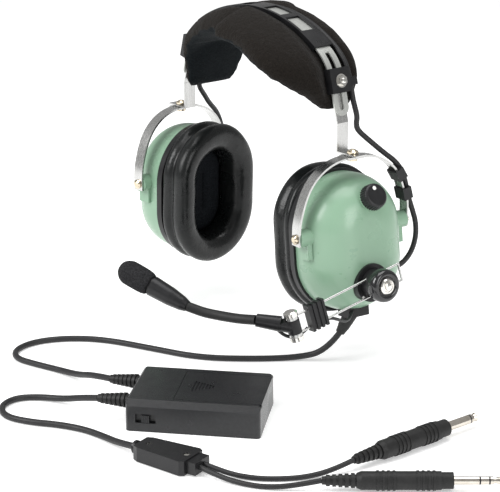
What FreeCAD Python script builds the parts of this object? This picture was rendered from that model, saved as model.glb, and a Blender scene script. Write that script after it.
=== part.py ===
"""Aviation headset: two green ear domes on a slotted spring headband, a boom microphone,
and its cord set with a battery box, a Y splitter and two plugs.

Frame: +X is the wearer's left, -Y is the wearer's front, +Z is up, in millimetres.
The origin is midway between the faces of the two ear seals, on the line through the ears.
"""
import FreeCAD
import Part
import math
import os

V = FreeCAD.Vector
X_AXIS = V(1, 0, 0)
Y_AXIS = V(0, 1, 0)
Z_AXIS = V(0, 0, 1)
ORIGIN = V(0, 0, 0)

# ---------------------------------------------------------------- driving sizes
HEAD_GAP = 112.0            # between the two seal faces, unworn
DOME_HEIGHT = 102.0
DOME_WIDTH = 80.0
DOME_DEPTH = 38.0           # from its rim to its outer face
DOME_ROUND = 30.0           # edge rounding of the outer face
DOME_WALL = 3.0
SEAL_HEIGHT = 112.0
SEAL_WIDTH = 86.0
SEAL_DEPTH = 25.0
SEAL_ROUND = 8.0
EAR_HEIGHT = 70.0
EAR_WIDTH = 42.0
PLATE_THICK = 5.0
PLATE_MARGIN = 2.0          # how far the plate stands out past the dome's rim
PIVOT_DEPTH = 44.0          # pivot axis, out from the seal face
PIVOT_Z = 10.0              # pivot axis above the ear axis
TOE_IN = 7.0
LEFT_TILT = 7.0             # the microphone side is shown tipped up
RIGHT_TILT = 1.0

BAND_CROWN = 158.0          # height of the band's middle line
BAND_TOP_RADIUS = 120.0
BAND_SHOULDER_RADIUS = 36.0
BAND_FOOT_X = 89.0
BAND_FOOT_Z = 92.0
LEG_LEAN = 15.0             # legs lean inwards from vertical
BAND_WIDTH = 13.5
BAND_THICK = 1.2
SLOT_WIDTH = 4.3
ARM_WIDTH = 10.5
ARM_THICK = 1.2
STRAP_WIDTH = 9.0
STRAP_THICK = 1.5
YOKE_HALF = 48.2            # middle of the strap's legs, front and back
YOKE_SCREW_Z = 66.0

PAD_THICK = 12.5
PAD_LIFT = 3.6              # band's middle line to the pad's outer face
PAD_FOOT_LEFT = 4.0         # pad's ends, up the legs from the band's feet
PAD_FOOT_RIGHT = -6.0

FLOOR = -92.0               # what the cord set lies on
MAIN_CORD = 4.5
PLUG_LEAD = 3.5
CROSS_CORD = 4.0
BOX_LENGTH = 92.0
BOX_WIDTH = 64.0
BOX_HEIGHT = 22.0
BOX_WALL = 2.2
BOX_CENTRE = (112.0, -150.0)
BOX_TURN = 41.0

CLEAR = 0.3                 # free gap between pieces that move past each other
RUN_FIT = 0.06              # radial clearance of pins and shafts

PIVOT_X = HEAD_GAP / 2 + PIVOT_DEPTH
SHELF = SEAL_DEPTH + PLATE_THICK          # depth of the dome's rim
DOME_FACE = SHELF + DOME_DEPTH


# ---------------------------------------------------------------- plain shapes
def box(x0, x1, y0, y1, z0, z1):
    return Part.makeBox(x1 - x0, y1 - y0, z1 - z0, V(x0, y0, z0))


def rod(start, end, radius):
    return Part.makeCylinder(radius, (end - start).Length, start, end - start)


def taper(start, end, radius_start, radius_end):
    return Part.makeCone(radius_start, radius_end, (end - start).Length, start, end - start)


def turned(start, direction, profile):
    """Cylinders and cones one after another along an axis: (length, first radius, last radius)."""
    way = V(direction)
    way.normalize()
    pieces = []
    at = V(start)
    for length, first, last in profile:
        then = at + way * length
        pieces.append(rod(at, then, first) if first == last else taper(at, then, first, last))
        at = then
    return joined(pieces)


def joined(shapes):
    shapes = list(shapes)
    if len(shapes) == 1:
        return shapes[0]
    return shapes[0].multiFuse(shapes[1:]).removeSplitter()


def group(shapes):
    """Several separate solids kept in one node."""
    return Part.makeCompound(list(shapes))


def polygon(points):
    return Part.Face(Part.makePolygon(list(points) + [points[0]]))


def stadium(height, width, depth_from, depth_to):
    """Upright oval with straight sides, extruded outwards from the seal face."""
    radius = width / 2
    side = height / 2 - radius
    bar = box(depth_from, depth_to, -radius, radius, -side, side)
    ends = [rod(V(depth_from, 0, z), V(depth_to, 0, z), radius) for z in (side, -side)]
    return joined([bar] + ends)


def end_edges(shape, depth):
    """Edges that lie wholly at one depth."""
    return [e for e in shape.Edges if abs(e.BoundBox.XMin - depth) < 1e-4 and abs(e.BoundBox.XMax - depth) < 1e-4]


def mirrored(shape):
    return shape.mirror(ORIGIN, X_AXIS)


# ---------------------------------------------------------------- placing a cup
def cup_placement(tilt):
    tip = FreeCAD.Placement(ORIGIN, FreeCAD.Rotation(Y_AXIS, -tilt))
    toe = FreeCAD.Placement(ORIGIN, FreeCAD.Rotation(Z_AXIS, -TOE_IN))
    to_pivot = FreeCAD.Placement(V(-PIVOT_DEPTH, 0, -PIVOT_Z), FreeCAD.Rotation())
    back = FreeCAD.Placement(V(PIVOT_X, 0, PIVOT_Z), FreeCAD.Rotation())
    return back.multiply(toe).multiply(tip).multiply(to_pivot)


def moved(shape, placement):
    return shape.transformed(placement.toMatrix(), True)


LEFT_CUP = cup_placement(LEFT_TILT)
RIGHT_CUP = cup_placement(RIGHT_TILT)


# ---------------------------------------------------------------- headband path
LEAN = math.radians(LEG_LEAN)
LEG_UP = V(-math.sin(LEAN), 0, math.cos(LEAN))
LEG_OUT = V(math.cos(LEAN), 0, math.sin(LEAN))
BAND_FOOT = V(BAND_FOOT_X, 0, BAND_FOOT_Z)
TOP_CENTRE = V(0, 0, BAND_CROWN - BAND_TOP_RADIUS)
REACH = (BAND_FOOT - TOP_CENTRE).dot(LEG_OUT) - BAND_SHOULDER_RADIUS
TOP_ANGLE = math.asin(REACH / (BAND_TOP_RADIUS - BAND_SHOULDER_RADIUS)) - LEAN
SHOULDER_CENTRE = TOP_CENTRE + V(math.sin(TOP_ANGLE), 0, math.cos(TOP_ANGLE)) * (
    BAND_TOP_RADIUS - BAND_SHOULDER_RADIUS)
SHOULDER_TURN = math.pi / 2 - LEAN - TOP_ANGLE
TOP_RUN = BAND_TOP_RADIUS * TOP_ANGLE
SHOULDER_RUN = BAND_SHOULDER_RADIUS * SHOULDER_TURN
LEG_START = SHOULDER_CENTRE + LEG_OUT * BAND_SHOULDER_RADIUS
LEG_RUN = (LEG_START - BAND_FOOT).dot(LEG_UP)
HALF_RUN = TOP_RUN + SHOULDER_RUN + LEG_RUN
BAND_REACH = BAND_FOOT_X + BAND_WIDTH     # further out than any of the band


def band_point(run, offset, y=0.0):
    """Point on the left half of the band's middle line, measured from the crown, set out by offset."""
    if run <= TOP_RUN:
        angle = run / BAND_TOP_RADIUS
        point = TOP_CENTRE + V(math.sin(angle), 0, math.cos(angle)) * (BAND_TOP_RADIUS + offset)
    elif run <= TOP_RUN + SHOULDER_RUN:
        angle = TOP_ANGLE + (run - TOP_RUN) / BAND_SHOULDER_RADIUS
        point = SHOULDER_CENTRE + V(math.sin(angle), 0, math.cos(angle)) * (BAND_SHOULDER_RADIUS + offset)
    else:
        point = LEG_START + LEG_OUT * offset - LEG_UP * (run - TOP_RUN - SHOULDER_RUN)
    return point + V(0, y, 0)


def half_edges(run, offset, y):
    """Edges of one offset line from the crown to a run along the left half."""
    edges = []
    stops = [0.0, min(run, TOP_RUN)]
    if run > TOP_RUN:
        stops.append(min(run, TOP_RUN + SHOULDER_RUN))
    if run > TOP_RUN + SHOULDER_RUN:
        stops.append(run)
    for first, last in zip(stops, stops[1:]):
        ends = [band_point(s, offset, y) for s in (first, (first + last) / 2, last)]
        if first >= TOP_RUN + SHOULDER_RUN - 1e-6:
            edges.append(Part.LineSegment(ends[0], ends[2]).toShape())
        else:
            edges.append(Part.Arc(*ends).toShape())
    return edges


def band_ribbon(left_run, right_run, inner, outer, y0, y1):
    """Solid between two offsets of the band's line, from the left run over the crown to the right run."""
    halves = []
    for run, flip in ((left_run, False), (right_run, True)):
        low = half_edges(run, inner, y0)
        high = half_edges(run, outer, y0)
        crown = Part.LineSegment(band_point(0, inner, y0), band_point(0, outer, y0)).toShape()
        foot = Part.LineSegment(band_point(run, inner, y0), band_point(run, outer, y0)).toShape()
        wire = Part.Wire(Part.__sortEdges__(low + high + [crown, foot]))
        half = Part.Face(wire).extrude(V(0, y1 - y0, 0))
        halves.append(mirrored(half) if flip else half)
    return joined(halves)


def leg_point(up, offset, y=0.0):
    """Point on the left leg, measured up from the band's foot."""
    return BAND_FOOT + LEG_UP * up + LEG_OUT * offset + V(0, y, 0)


def leg_block(up0, up1, in0, out1, y0, y1):
    """Block square to the left leg."""
    corners = [leg_point(u, o, y0) for u, o in ((up0, in0), (up1, in0), (up1, out1), (up0, out1))]
    return polygon(corners).extrude(V(0, y1 - y0, 0))


# ---------------------------------------------------------------- cords
def corner(before, at, after):
    """Arc that joins two runs at a route's point: its start, middle, end and radius."""
    one = before - at
    two = after - at
    shorter = min(one.Length, two.Length)
    one.normalize()
    two.normalize()
    back = 0.45 * shorter
    turn = math.pi - one.getAngle(two)
    radius = back / math.tan(turn / 2)
    halfway = one + two
    halfway.normalize()
    middle = at + halfway * (radius / math.cos(turn / 2) - radius)
    return at + one * back, middle, at + two * back, radius


def route_wire(points):
    edges = []
    radii = []
    at = points[0]
    for before, here, after in zip(points, points[1:], points[2:]):
        start, middle, end, radius = corner(before, here, after)
        edges.append(Part.LineSegment(at, start).toShape())
        edges.append(Part.Arc(start, middle, end).toShape())
        radii.append(radius)
        at = end
    edges.append(Part.LineSegment(at, points[-1]).toShape())
    return Part.Wire(edges), radii


def swept(wire, start, direction, diameter):
    circle = Part.Circle(start, direction, diameter / 2).toShape()
    tube = wire.makePipeShell([Part.Wire(circle)], True, False)
    return tube if tube.Volume > 0 else tube.reversed()


def cord(name, points, diameter):
    points = [V(*p) for p in points]
    wire, radii = route_wire(points)
    tube = swept(wire, points[0], points[1] - points[0], diameter)
    ideal = math.pi * diameter ** 2 / 4 * wire.Length
    print(name, "length", round(wire.Length), "tightest", round(min(radii), 1), "radii",
          [round(r) for r in radii], "volume ratio", round(tube.Volume / ideal, 3))
    return tube


def trimmed(tube, *others):
    """A cord's tube ended on the faces of the pieces that it runs into."""
    for other in others:
        tube = tube.cut(other)
    return max(tube.Solids, key=lambda solid: solid.Volume)


# ---------------------------------------------------------------- ear cups
SPEAKER_RADIUS = 20.0
SPEAKER_DEPTH = 8.0
SPEAKER_HOLE = 16.0
LINER_THICK = 4.0
BOSS_RADIUS = 6.5
BOSS_REACH = YOKE_HALF - STRAP_THICK / 2 - CLEAR
PIVOT_PIN = 2.0
PIVOT_HEAD = 3.6
NUT_RADIUS = 3.6


def dome_solid(shrink):
    """Rounded dome; shrink sets it in from the outside."""
    height = DOME_HEIGHT - 2 * shrink
    width = DOME_WIDTH - 2 * shrink
    face = DOME_FACE - shrink
    shape = stadium(height, width, SHELF, face)
    return shape.makeFillet(DOME_ROUND - shrink, end_edges(shape, face))


def seal_plate():
    shape = stadium(DOME_HEIGHT + 2 * PLATE_MARGIN, DOME_WIDTH + 2 * PLATE_MARGIN, SEAL_DEPTH, SHELF)
    return shape.cut(rod(V(SEAL_DEPTH, 0, 0), V(SHELF, 0, 0), SPEAKER_HOLE))


def ear_seal():
    ring = stadium(SEAL_HEIGHT, SEAL_WIDTH, 0, SEAL_DEPTH)
    ring = ring.makeFillet(SEAL_ROUND, end_edges(ring, 0) + end_edges(ring, SEAL_DEPTH))
    hole = stadium(EAR_HEIGHT, EAR_WIDTH, -1, SEAL_DEPTH + 1)
    return ring.cut(hole)


def ear_liner():
    inset = 0.5
    return stadium(EAR_HEIGHT - 2 * inset, EAR_WIDTH - 2 * inset, SEAL_DEPTH - LINER_THICK, SEAL_DEPTH)


def speaker():
    return turned(V(SHELF, 0, 0), X_AXIS, [(SPEAKER_DEPTH / 2, SPEAKER_RADIUS, SPEAKER_RADIUS),
                                           (SPEAKER_DEPTH / 2, SPEAKER_RADIUS * 0.7, SPEAKER_RADIUS * 0.6)])


def noise_board():
    """Electronics board behind the speaker, with its parts on it."""
    depth = SHELF + SPEAKER_DEPTH + 4
    board = box(depth, depth + 1.6, -20, 20, -16, 20)
    chips = [box(depth + 1.6, depth + 4, y, y + 8, z, z + 8) for y, z in ((-15, -10), (-2, -8), (6, 6))]
    stand_offs = [rod(V(SHELF, y, 18), V(depth, y, 18), 2) for y in (-16, 16)]
    return joined([board] + chips + stand_offs)


def pivot_bosses():
    bosses = []
    for side in (-1, 1):
        start = V(PIVOT_DEPTH, side * (DOME_WIDTH / 2 - DOME_WALL - 1), PIVOT_Z)
        end = V(PIVOT_DEPTH, side * BOSS_REACH, PIVOT_Z)
        bosses.append(rod(start, end, BOSS_RADIUS))
        lug = box(PIVOT_DEPTH - 5, PIVOT_DEPTH + 5, -2, 2, PIVOT_Z - 16, PIVOT_Z)
        lug.translate(V(0, side * (DOME_WIDTH / 2 + 0.5), 0))
        bosses.append(lug)
    return bosses


def pivot_hole():
    return rod(V(PIVOT_DEPTH, -YOKE_HALF, PIVOT_Z), V(PIVOT_DEPTH, YOKE_HALF, PIVOT_Z), PIVOT_PIN + RUN_FIT)


def dome_shell(extra, holes):
    shape = joined([dome_solid(0)] + pivot_bosses() + extra)
    shape = shape.cut(dome_solid(DOME_WALL))
    for hole in [pivot_hole()] + holes:
        shape = shape.cut(hole)
    return shape


# ---------------------------------------------------------------- volume knob
KNOB_RADIUS = 9.7
KNOB_HEIGHT = 8.0
KNOB_Y = 3.0
KNOB_Z = 34.0
SHAFT_RADIUS = 3.0
KNOB_SLOPE = math.asin((KNOB_Z - (DOME_HEIGHT / 2 - DOME_ROUND)) / DOME_ROUND)
KNOB_WAY = V(math.cos(KNOB_SLOPE), 0, math.sin(KNOB_SLOPE))
KNOB_FOOT = V(DOME_FACE - DOME_ROUND, KNOB_Y, DOME_HEIGHT / 2 - DOME_ROUND) + KNOB_WAY * (DOME_ROUND + 1.0)


def volume_seat():
    return rod(KNOB_FOOT - KNOB_WAY * 7, KNOB_FOOT, KNOB_RADIUS - 1.0)


def volume_hole():
    return rod(KNOB_FOOT - KNOB_WAY * 12, KNOB_FOOT + KNOB_WAY, SHAFT_RADIUS + RUN_FIT)


def volume_knob():
    start = KNOB_FOOT + KNOB_WAY * CLEAR
    knob = turned(start, KNOB_WAY, [(KNOB_HEIGHT - 1, KNOB_RADIUS, KNOB_RADIUS - 0.4),
                                    (1, KNOB_RADIUS - 0.4, KNOB_RADIUS - 1.6)])
    mark = start + KNOB_WAY * KNOB_HEIGHT + V(-math.sin(KNOB_SLOPE), 0, math.cos(KNOB_SLOPE)) * 5.5
    knob = knob.cut(rod(mark - KNOB_WAY * 0.5, mark + KNOB_WAY, 1.3))
    shaft = rod(KNOB_FOOT - KNOB_WAY * 10, start, SHAFT_RADIUS)
    return joined([knob, shaft])


def volume_control():
    """Body of the volume control behind the dome's wall, bored for the knob's shaft."""
    body = rod(KNOB_FOOT - KNOB_WAY * 14, KNOB_FOOT - KNOB_WAY * 7, 7.5)
    body = body.cut(rod(KNOB_FOOT - KNOB_WAY * 10.5, KNOB_FOOT, SHAFT_RADIUS + RUN_FIT))
    return body


# ---------------------------------------------------------------- boom microphone
BOOM_Y = -2.0
BOOM_Z = -26.0
BOOM_DROP = math.radians(13.0)
WIRE_GAP = 13.0
WIRE_RADIUS = 0.85
WIRE_FRONT = 75.0
WIRE_BACK = 22.0
BASE_RADIUS = 14.0
BASE_FACE = DOME_FACE + 2.0
BRACKET_THICK = 8.0
CLAMP_RADIUS = 12.0
CLAMP_HEIGHT = 9.0
FRICTION_POST = 3.0
BOOM_DEPTH = BASE_FACE + CLEAR + BRACKET_THICK / 2     # plane of the two wires
BOOM_CENTRE = V(BOOM_DEPTH, BOOM_Y, BOOM_Z)
FORWARD = V(0, -math.cos(BOOM_DROP), -math.sin(BOOM_DROP))
ACROSS = V(0, -math.sin(BOOM_DROP), math.cos(BOOM_DROP))
BRACKET_FACE = BASE_FACE + CLEAR + BRACKET_THICK


def boom_place(point):
    return LEFT_CUP.multVec(point)


ELBOW = BOOM_CENTRE + FORWARD * WIRE_FRONT
ELBOW_WORLD = boom_place(ELBOW)
ARM_END = V(107, -96, -36)
FLEX_ROUTE = ((107, -96, -36), (93, -100.5, -38), (78, -106, -38.5), (68, -112, -37.5), (58, -119, -34))
MIC_START = V(58, -119, -34)
MIC_TIP = V(9, -142, -12)
FLEX_DIAMETER = 7.0
MIC_WAY = MIC_TIP - MIC_START


def boom_base():
    foot = rod(V(SHELF + 20, BOOM_Y, BOOM_Z), V(BASE_FACE, BOOM_Y, BOOM_Z), BASE_RADIUS)
    foot = foot.cut(dome_solid(0))
    post = rod(V(BASE_FACE - 1, BOOM_Y, BOOM_Z), V(BRACKET_FACE + CLAMP_HEIGHT, BOOM_Y, BOOM_Z), FRICTION_POST)
    return joined([foot, post])


def wire_line(side, from_run, to_run, radius):
    offset = ACROSS * (side * WIRE_GAP / 2)
    return rod(BOOM_CENTRE + offset + FORWARD * from_run, BOOM_CENTRE + offset + FORWARD * to_run, radius)


def boom_bracket():
    drum = rod(V(BASE_FACE + CLEAR, BOOM_Y, BOOM_Z), V(BRACKET_FACE, BOOM_Y, BOOM_Z), CLAMP_RADIUS - 1.5)
    drum = drum.cut(rod(V(BASE_FACE, BOOM_Y, BOOM_Z), V(BRACKET_FACE + 1, BOOM_Y, BOOM_Z), FRICTION_POST + RUN_FIT))
    for side in (-1, 1):
        drum = drum.cut(wire_line(side, -30, 30, WIRE_RADIUS + RUN_FIT))
    return drum


def clamp_knob():
    start = V(BRACKET_FACE + CLEAR, BOOM_Y, BOOM_Z)
    knob = turned(start, X_AXIS, [(1.5, CLAMP_RADIUS - 1, CLAMP_RADIUS), (CLAMP_HEIGHT - 3, CLAMP_RADIUS, CLAMP_RADIUS),
                                  (1.5, CLAMP_RADIUS, CLAMP_RADIUS - 1.5)])
    knob = knob.cut(rod(start - X_AXIS, start + X_AXIS * (CLAMP_HEIGHT + 1), FRICTION_POST + RUN_FIT))
    for step in range(12):
        angle = step * math.pi / 6
        at = start + V(0, math.cos(angle), math.sin(angle)) * (CLAMP_RADIUS + 1.2)
        knob = knob.cut(rod(at - X_AXIS, at + X_AXIS * (CLAMP_HEIGHT + 1), 1.9))
    return knob


def clamp_nut():
    start = V(BRACKET_FACE + CLEAR + CLAMP_HEIGHT, BOOM_Y, BOOM_Z)
    return turned(start, X_AXIS, [(1.0, 5.9, 5.9), (1.2, 5.6, 3.8)])


def boom_wires():
    wires = []
    for side in (-1, 1):
        wires.append(wire_line(side, -WIRE_BACK, WIRE_FRONT + 5, WIRE_RADIUS))
    heel = BOOM_CENTRE - FORWARD * WIRE_BACK
    wires.append(rod(heel - ACROSS * (WIRE_GAP / 2), heel + ACROSS * (WIRE_GAP / 2), WIRE_RADIUS))
    for side in (-1, 1):
        wires.append(Part.makeSphere(WIRE_RADIUS, heel + ACROSS * (side * WIRE_GAP / 2)))
        at = ELBOW + ACROSS * (side * WIRE_GAP / 2)
        eye = rod(at - ACROSS * 1.1, at + ACROSS * 1.1, 4.6)
        wires.append(eye)
    shape = joined(wires)
    return shape.cut(rod(ELBOW - ACROSS * 20, ELBOW + ACROSS * 20, 2.0))


def wire_clip():
    """Ribbed black clip that holds the two wires and the lead together."""
    at = BOOM_CENTRE + FORWARD * (WIRE_FRONT - 20)
    shapes = []
    for step in range(7):
        middle = at + FORWARD * (step * 2.0 - 6.0)
        half = 2.6 if step % 2 else 3.4
        reach = WIRE_GAP / 2 + half
        corners = [middle + FORWARD * f + ACROSS * a - X_AXIS * half for f, a in
                   ((-1.0, -reach), (1.0, -reach), (1.0, reach), (-1.0, reach))]
        shapes.append(polygon(corners).extrude(X_AXIS * (2 * half)))
    shape = joined(shapes)
    for side in (-1, 1):
        shape = shape.cut(wire_line(side, 20, WIRE_FRONT, WIRE_RADIUS))
    return shape


ARM_EYE = WIRE_GAP / 2 - 1.1 - CLEAR


def elbow_bolt():
    """Chrome pin with a nut at each end, fixed in the wires' eyes."""
    pin = rod(ELBOW - ACROSS * (WIRE_GAP / 2 + 1.1), ELBOW + ACROSS * (WIRE_GAP / 2 + 1.1), 2.0)
    nuts = []
    for side in (-1, 1):
        foot = ELBOW + ACROSS * (side * (WIRE_GAP / 2 + 1.1))
        nuts.append(turned(foot, ACROSS * side, [(3.0, 5.0, 5.0), (0.8, 5.0, 3.8)]))
    return joined([pin] + nuts)


def boom_arm():
    """Black ferrule arm from the elbow to the flexible boom."""
    eye = rod(ELBOW - ACROSS * ARM_EYE, ELBOW + ACROSS * ARM_EYE, 5.0)
    eye = eye.cut(rod(ELBOW - ACROSS * 20, ELBOW + ACROSS * 20, 2.0 + RUN_FIT))
    eye = moved(eye, LEFT_CUP)
    way = ARM_END - ELBOW_WORLD
    way.normalize()
    pin = moved(rod(ELBOW - ACROSS * 20, ELBOW + ACROSS * 20, 2.0 + RUN_FIT), LEFT_CUP)
    sleeve = taper(ELBOW_WORLD, ARM_END, 5.4, 4.6)
    cap = moved(rod(ELBOW - ACROSS * ARM_EYE, ELBOW + ACROSS * ARM_EYE, 40), LEFT_CUP)
    tip = taper(ELBOW_WORLD + way * 9, ARM_END, 5.6, 4.6)
    return joined([eye, sleeve.common(cap), tip]).cut(pin)


def mic_point(run):
    way = V(MIC_WAY)
    way.normalize()
    return MIC_START + way * run


MIC_BODY = 30.0
MUFF_START = 31.0
MUFF_RADIUS = 9.5


def mic_housing():
    shape = turned(MIC_START, MIC_WAY, [(4, 4.0, 5.2), (10, 5.2, 6.6), (MIC_BODY - 14, 6.6, 7.4)])
    neck = rod(mic_point(MIC_BODY), mic_point(MIC_BODY + 12), 6.0)
    shape = joined([shape, neck])
    return shape.cut(rod(mic_point(MIC_BODY + 2), mic_point(MIC_BODY + 12), 5.0))


def mic_capsule():
    return rod(mic_point(MIC_BODY + 2), mic_point(MIC_BODY + 10), 5.0)


def mic_muff():
    length = MIC_WAY.Length
    shape = turned(mic_point(MUFF_START), MIC_WAY, [(4, 8.2, MUFF_RADIUS),
                                                    (length - MUFF_START - 11, MUFF_RADIUS, MUFF_RADIUS),
                                                    (7, MUFF_RADIUS, 5.5)])
    return shape.cut(rod(mic_point(0), mic_point(MIC_BODY + 12), 6.0))


# ---------------------------------------------------------------- yokes and arms
TAB_Z = YOKE_SCREW_Z
TAB_OUT = 9.0
ARM_TOP = LEG_RUN + 1.85    # up the leg from the band's foot, where the band starts to curve
ARM_KNEE = -5.0             # where the arm bends from the leg's slope to upright
YOKE_TOP = TAB_Z - ARM_THICK / 2 - CLEAR - STRAP_THICK / 2
STRAP_FOOT = 5.0            # how far the strap runs on below its pivots
# The stirrup's line from its crown down to a leg, as (share of YOKE_HALF, drop below the crown).
STRAP_LINE = ((0.0, 0.0), (0.18, 0.3), (0.36, 1.9), (0.62, 8.2), (0.82, 19.0), (0.945, 34.0), (1.0, 50.0))
CLIP_SPOTS = ((39.5, 45.0, 58.0), (45.6, 30.0, 74.0))   # back, height, slope of the strap there


def strap_arch(offset):
    """Edges of the stirrup's line, seen from the side, set out by offset."""
    side = [V(PIVOT_X, share * YOKE_HALF, YOKE_TOP - drop) for share, drop in STRAP_LINE]
    line = [V(PIVOT_X, -p.y, p.z) for p in reversed(side[1:])] + side
    ways = [after - before for before, after in zip(line, line[2:])]
    ways = [Z_AXIS] + ways + [-Z_AXIS]
    points = []
    for point, way in zip(line, ways):
        out = V(0, -way.z, way.y)
        out.normalize()
        points.append(point + out * offset)
    curve = Part.BSplineCurve()
    curve.interpolate(Points=points, InitialTangent=Z_AXIS, FinalTangent=-Z_AXIS)
    foot = PIVOT_Z - STRAP_FOOT
    return [Part.LineSegment(V(PIVOT_X, points[0].y, foot), points[0]).toShape(), curve.toShape(),
            Part.LineSegment(points[-1], V(PIVOT_X, points[-1].y, foot)).toShape()]


def yoke():
    outer = strap_arch(STRAP_THICK / 2)
    inner = strap_arch(-STRAP_THICK / 2)
    feet = []
    for half_in, half_out in ((-YOKE_HALF + STRAP_THICK / 2, -YOKE_HALF - STRAP_THICK / 2),
                              (YOKE_HALF - STRAP_THICK / 2, YOKE_HALF + STRAP_THICK / 2)):
        foot = PIVOT_Z - STRAP_FOOT
        feet.append(Part.LineSegment(V(PIVOT_X, half_in, foot), V(PIVOT_X, half_out, foot)).toShape())
    wire = Part.Wire(Part.__sortEdges__(outer + inner + feet))
    shape = Part.Face(wire).extrude(V(STRAP_WIDTH, 0, 0))
    shape.translate(V(-STRAP_WIDTH / 2, 0, 0))
    plate = box(PIVOT_X - 6, PIVOT_X + 6, -8, 8, YOKE_TOP - STRAP_THICK / 2, YOKE_TOP + STRAP_THICK / 2)
    shape = joined([shape, plate])
    shape = shape.cut(rod(V(PIVOT_X, 0, 0), V(PIVOT_X, 0, TAB_Z), 2.0))
    shape = shape.cut(rod(V(PIVOT_X, 0, 0), V(PIVOT_X, 0, YOKE_TOP - STRAP_THICK / 2), NUT_RADIUS + CLEAR))
    for side in (-1, 1):
        shape = shape.cut(rod(V(PIVOT_X, side * 30, PIVOT_Z), V(PIVOT_X, side * 60, PIVOT_Z), PIVOT_PIN))
    return shape.transformed(yoke_turn().toMatrix())


def yoke_turn():
    """Toe-in turn about the yoke screw's axis."""
    place = FreeCAD.Placement(ORIGIN, FreeCAD.Rotation(Z_AXIS, -TOE_IN))
    back = FreeCAD.Placement(V(PIVOT_X, 0, 0), FreeCAD.Rotation())
    away = FreeCAD.Placement(V(-PIVOT_X, 0, 0), FreeCAD.Rotation())
    return back.multiply(place).multiply(away)


def yoke_pivots():
    """Two pivot screws, front and back, fixed in the strap's feet."""
    screws = []
    for side in (-1, 1):
        outside = side * (YOKE_HALF + STRAP_THICK / 2)
        inside = side * (DOME_WIDTH / 2 - DOME_WALL)
        pin = rod(V(PIVOT_X, inside, PIVOT_Z), V(PIVOT_X, outside, PIVOT_Z), PIVOT_PIN)
        head = turned(V(PIVOT_X, outside, PIVOT_Z), V(0, side, 0), [(1.2, PIVOT_HEAD, PIVOT_HEAD),
                                                                    (1.0, PIVOT_HEAD, PIVOT_HEAD * 0.55)])
        screws.append(joined([pin, head]))
    return [s.transformed(yoke_turn().toMatrix()) for s in screws]


def yoke_screw():
    """Round-head swivel screw with its nut under the strap."""
    low = YOKE_TOP - STRAP_THICK / 2
    high = TAB_Z + ARM_THICK / 2
    pin = rod(V(PIVOT_X, 0, low), V(PIVOT_X, 0, high + CLEAR), 2.0)
    head = turned(V(PIVOT_X, 0, high + CLEAR), Z_AXIS, [(1.2, 4.2, 4.2), (1.4, 4.2, 1.8)])
    nut = rod(V(PIVOT_X, 0, low - 2.4), V(PIVOT_X, 0, low), NUT_RADIUS)
    return joined([pin, head, nut])


def arm():
    """Flat arm: along the leg, then upright, then a tab out to the swivel screw."""
    inside = -BAND_THICK / 2 - CLEAR - ARM_THICK
    outside = -BAND_THICK / 2 - CLEAR
    half = ARM_WIDTH / 2
    top_in = leg_point(ARM_TOP, inside)
    top_out = leg_point(ARM_TOP, outside)
    knee_in = leg_point(ARM_KNEE, inside)
    knee_out = leg_point(ARM_KNEE, outside)
    low = TAB_Z - ARM_THICK / 2
    high = TAB_Z + ARM_THICK / 2
    end = PIVOT_X + TAB_OUT
    outline = [top_in, knee_in, V(knee_in.x, 0, low), V(end, 0, low), V(end, 0, high), V(knee_out.x, 0, high),
               knee_out, top_out]
    shape = polygon([p - V(0, half, 0) for p in outline]).extrude(V(0, ARM_WIDTH, 0))
    shape = shape.cut(rod(V(PIVOT_X, 0, low - 1), V(PIVOT_X, 0, high + 1), 2.0 + RUN_FIT))
    shape = shape.cut(rod(leg_point(SLIDER_UP, -10), leg_point(SLIDER_UP, 10), 2.0))
    return shape


# ---------------------------------------------------------------- sliders
SLIDER_UP = ARM_TOP - 2.2   # the slider's screw, up the leg
SLIDER_LOW = SLIDER_UP - 8.5
SLIDER_HIGH = SLIDER_UP + 9.5
SLIDER_OUT = BAND_THICK / 2 + CLEAR


def slider_block():
    """Black block outside the band, with a lip each side of it."""
    outer = SLIDER_OUT + 3.4
    half = BAND_WIDTH / 2 + 2.4
    shape = leg_block(SLIDER_LOW, SLIDER_HIGH, SLIDER_OUT, outer, -half, half)
    for side in (-1, 1):
        near = side * (BAND_WIDTH / 2 + CLEAR)
        lip = leg_block(SLIDER_LOW, SLIDER_HIGH, -2.0, SLIDER_OUT, min(near, side * half), max(near, side * half))
        shape = shape.fuse(lip)
    cable = leg_block(SLIDER_LOW + 4, SLIDER_LOW + 10, 1.0, outer, half - 1.0, CROSS_Y + CROSS_CORD / 2)
    shape = joined([shape, cable])
    return shape.cut(rod(leg_point(SLIDER_UP, -10), leg_point(SLIDER_UP, 10), 2.0))


def slider_screw():
    """Screw through the block, the band's slot and the arm, with a hexagon nut outside."""
    outer = SLIDER_OUT + 3.4
    inner = -BAND_THICK / 2 - CLEAR - ARM_THICK
    pin = rod(leg_point(SLIDER_UP, inner), leg_point(SLIDER_UP, outer + 2.0), 2.0)
    washer = rod(leg_point(SLIDER_UP, outer), leg_point(SLIDER_UP, outer + 0.6), 5.0)
    corners = []
    for step in range(6):
        angle = step * math.pi / 3
        corners.append(leg_point(SLIDER_UP + 3.9 * math.cos(angle), outer + 0.6, 3.9 * math.sin(angle)))
    nut = polygon(corners).extrude(LEG_OUT * 2.2)
    tip = turned(leg_point(SLIDER_UP, outer + 2.0), LEG_OUT, [(1.4, 2.0, 2.0), (0.6, 2.0, 1.2)])
    return joined([pin, washer, nut, tip])


# ---------------------------------------------------------------- headband
SLOT_START = TOP_RUN + SHOULDER_RUN * 0.1
FOOT_LAND = 4.0


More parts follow.
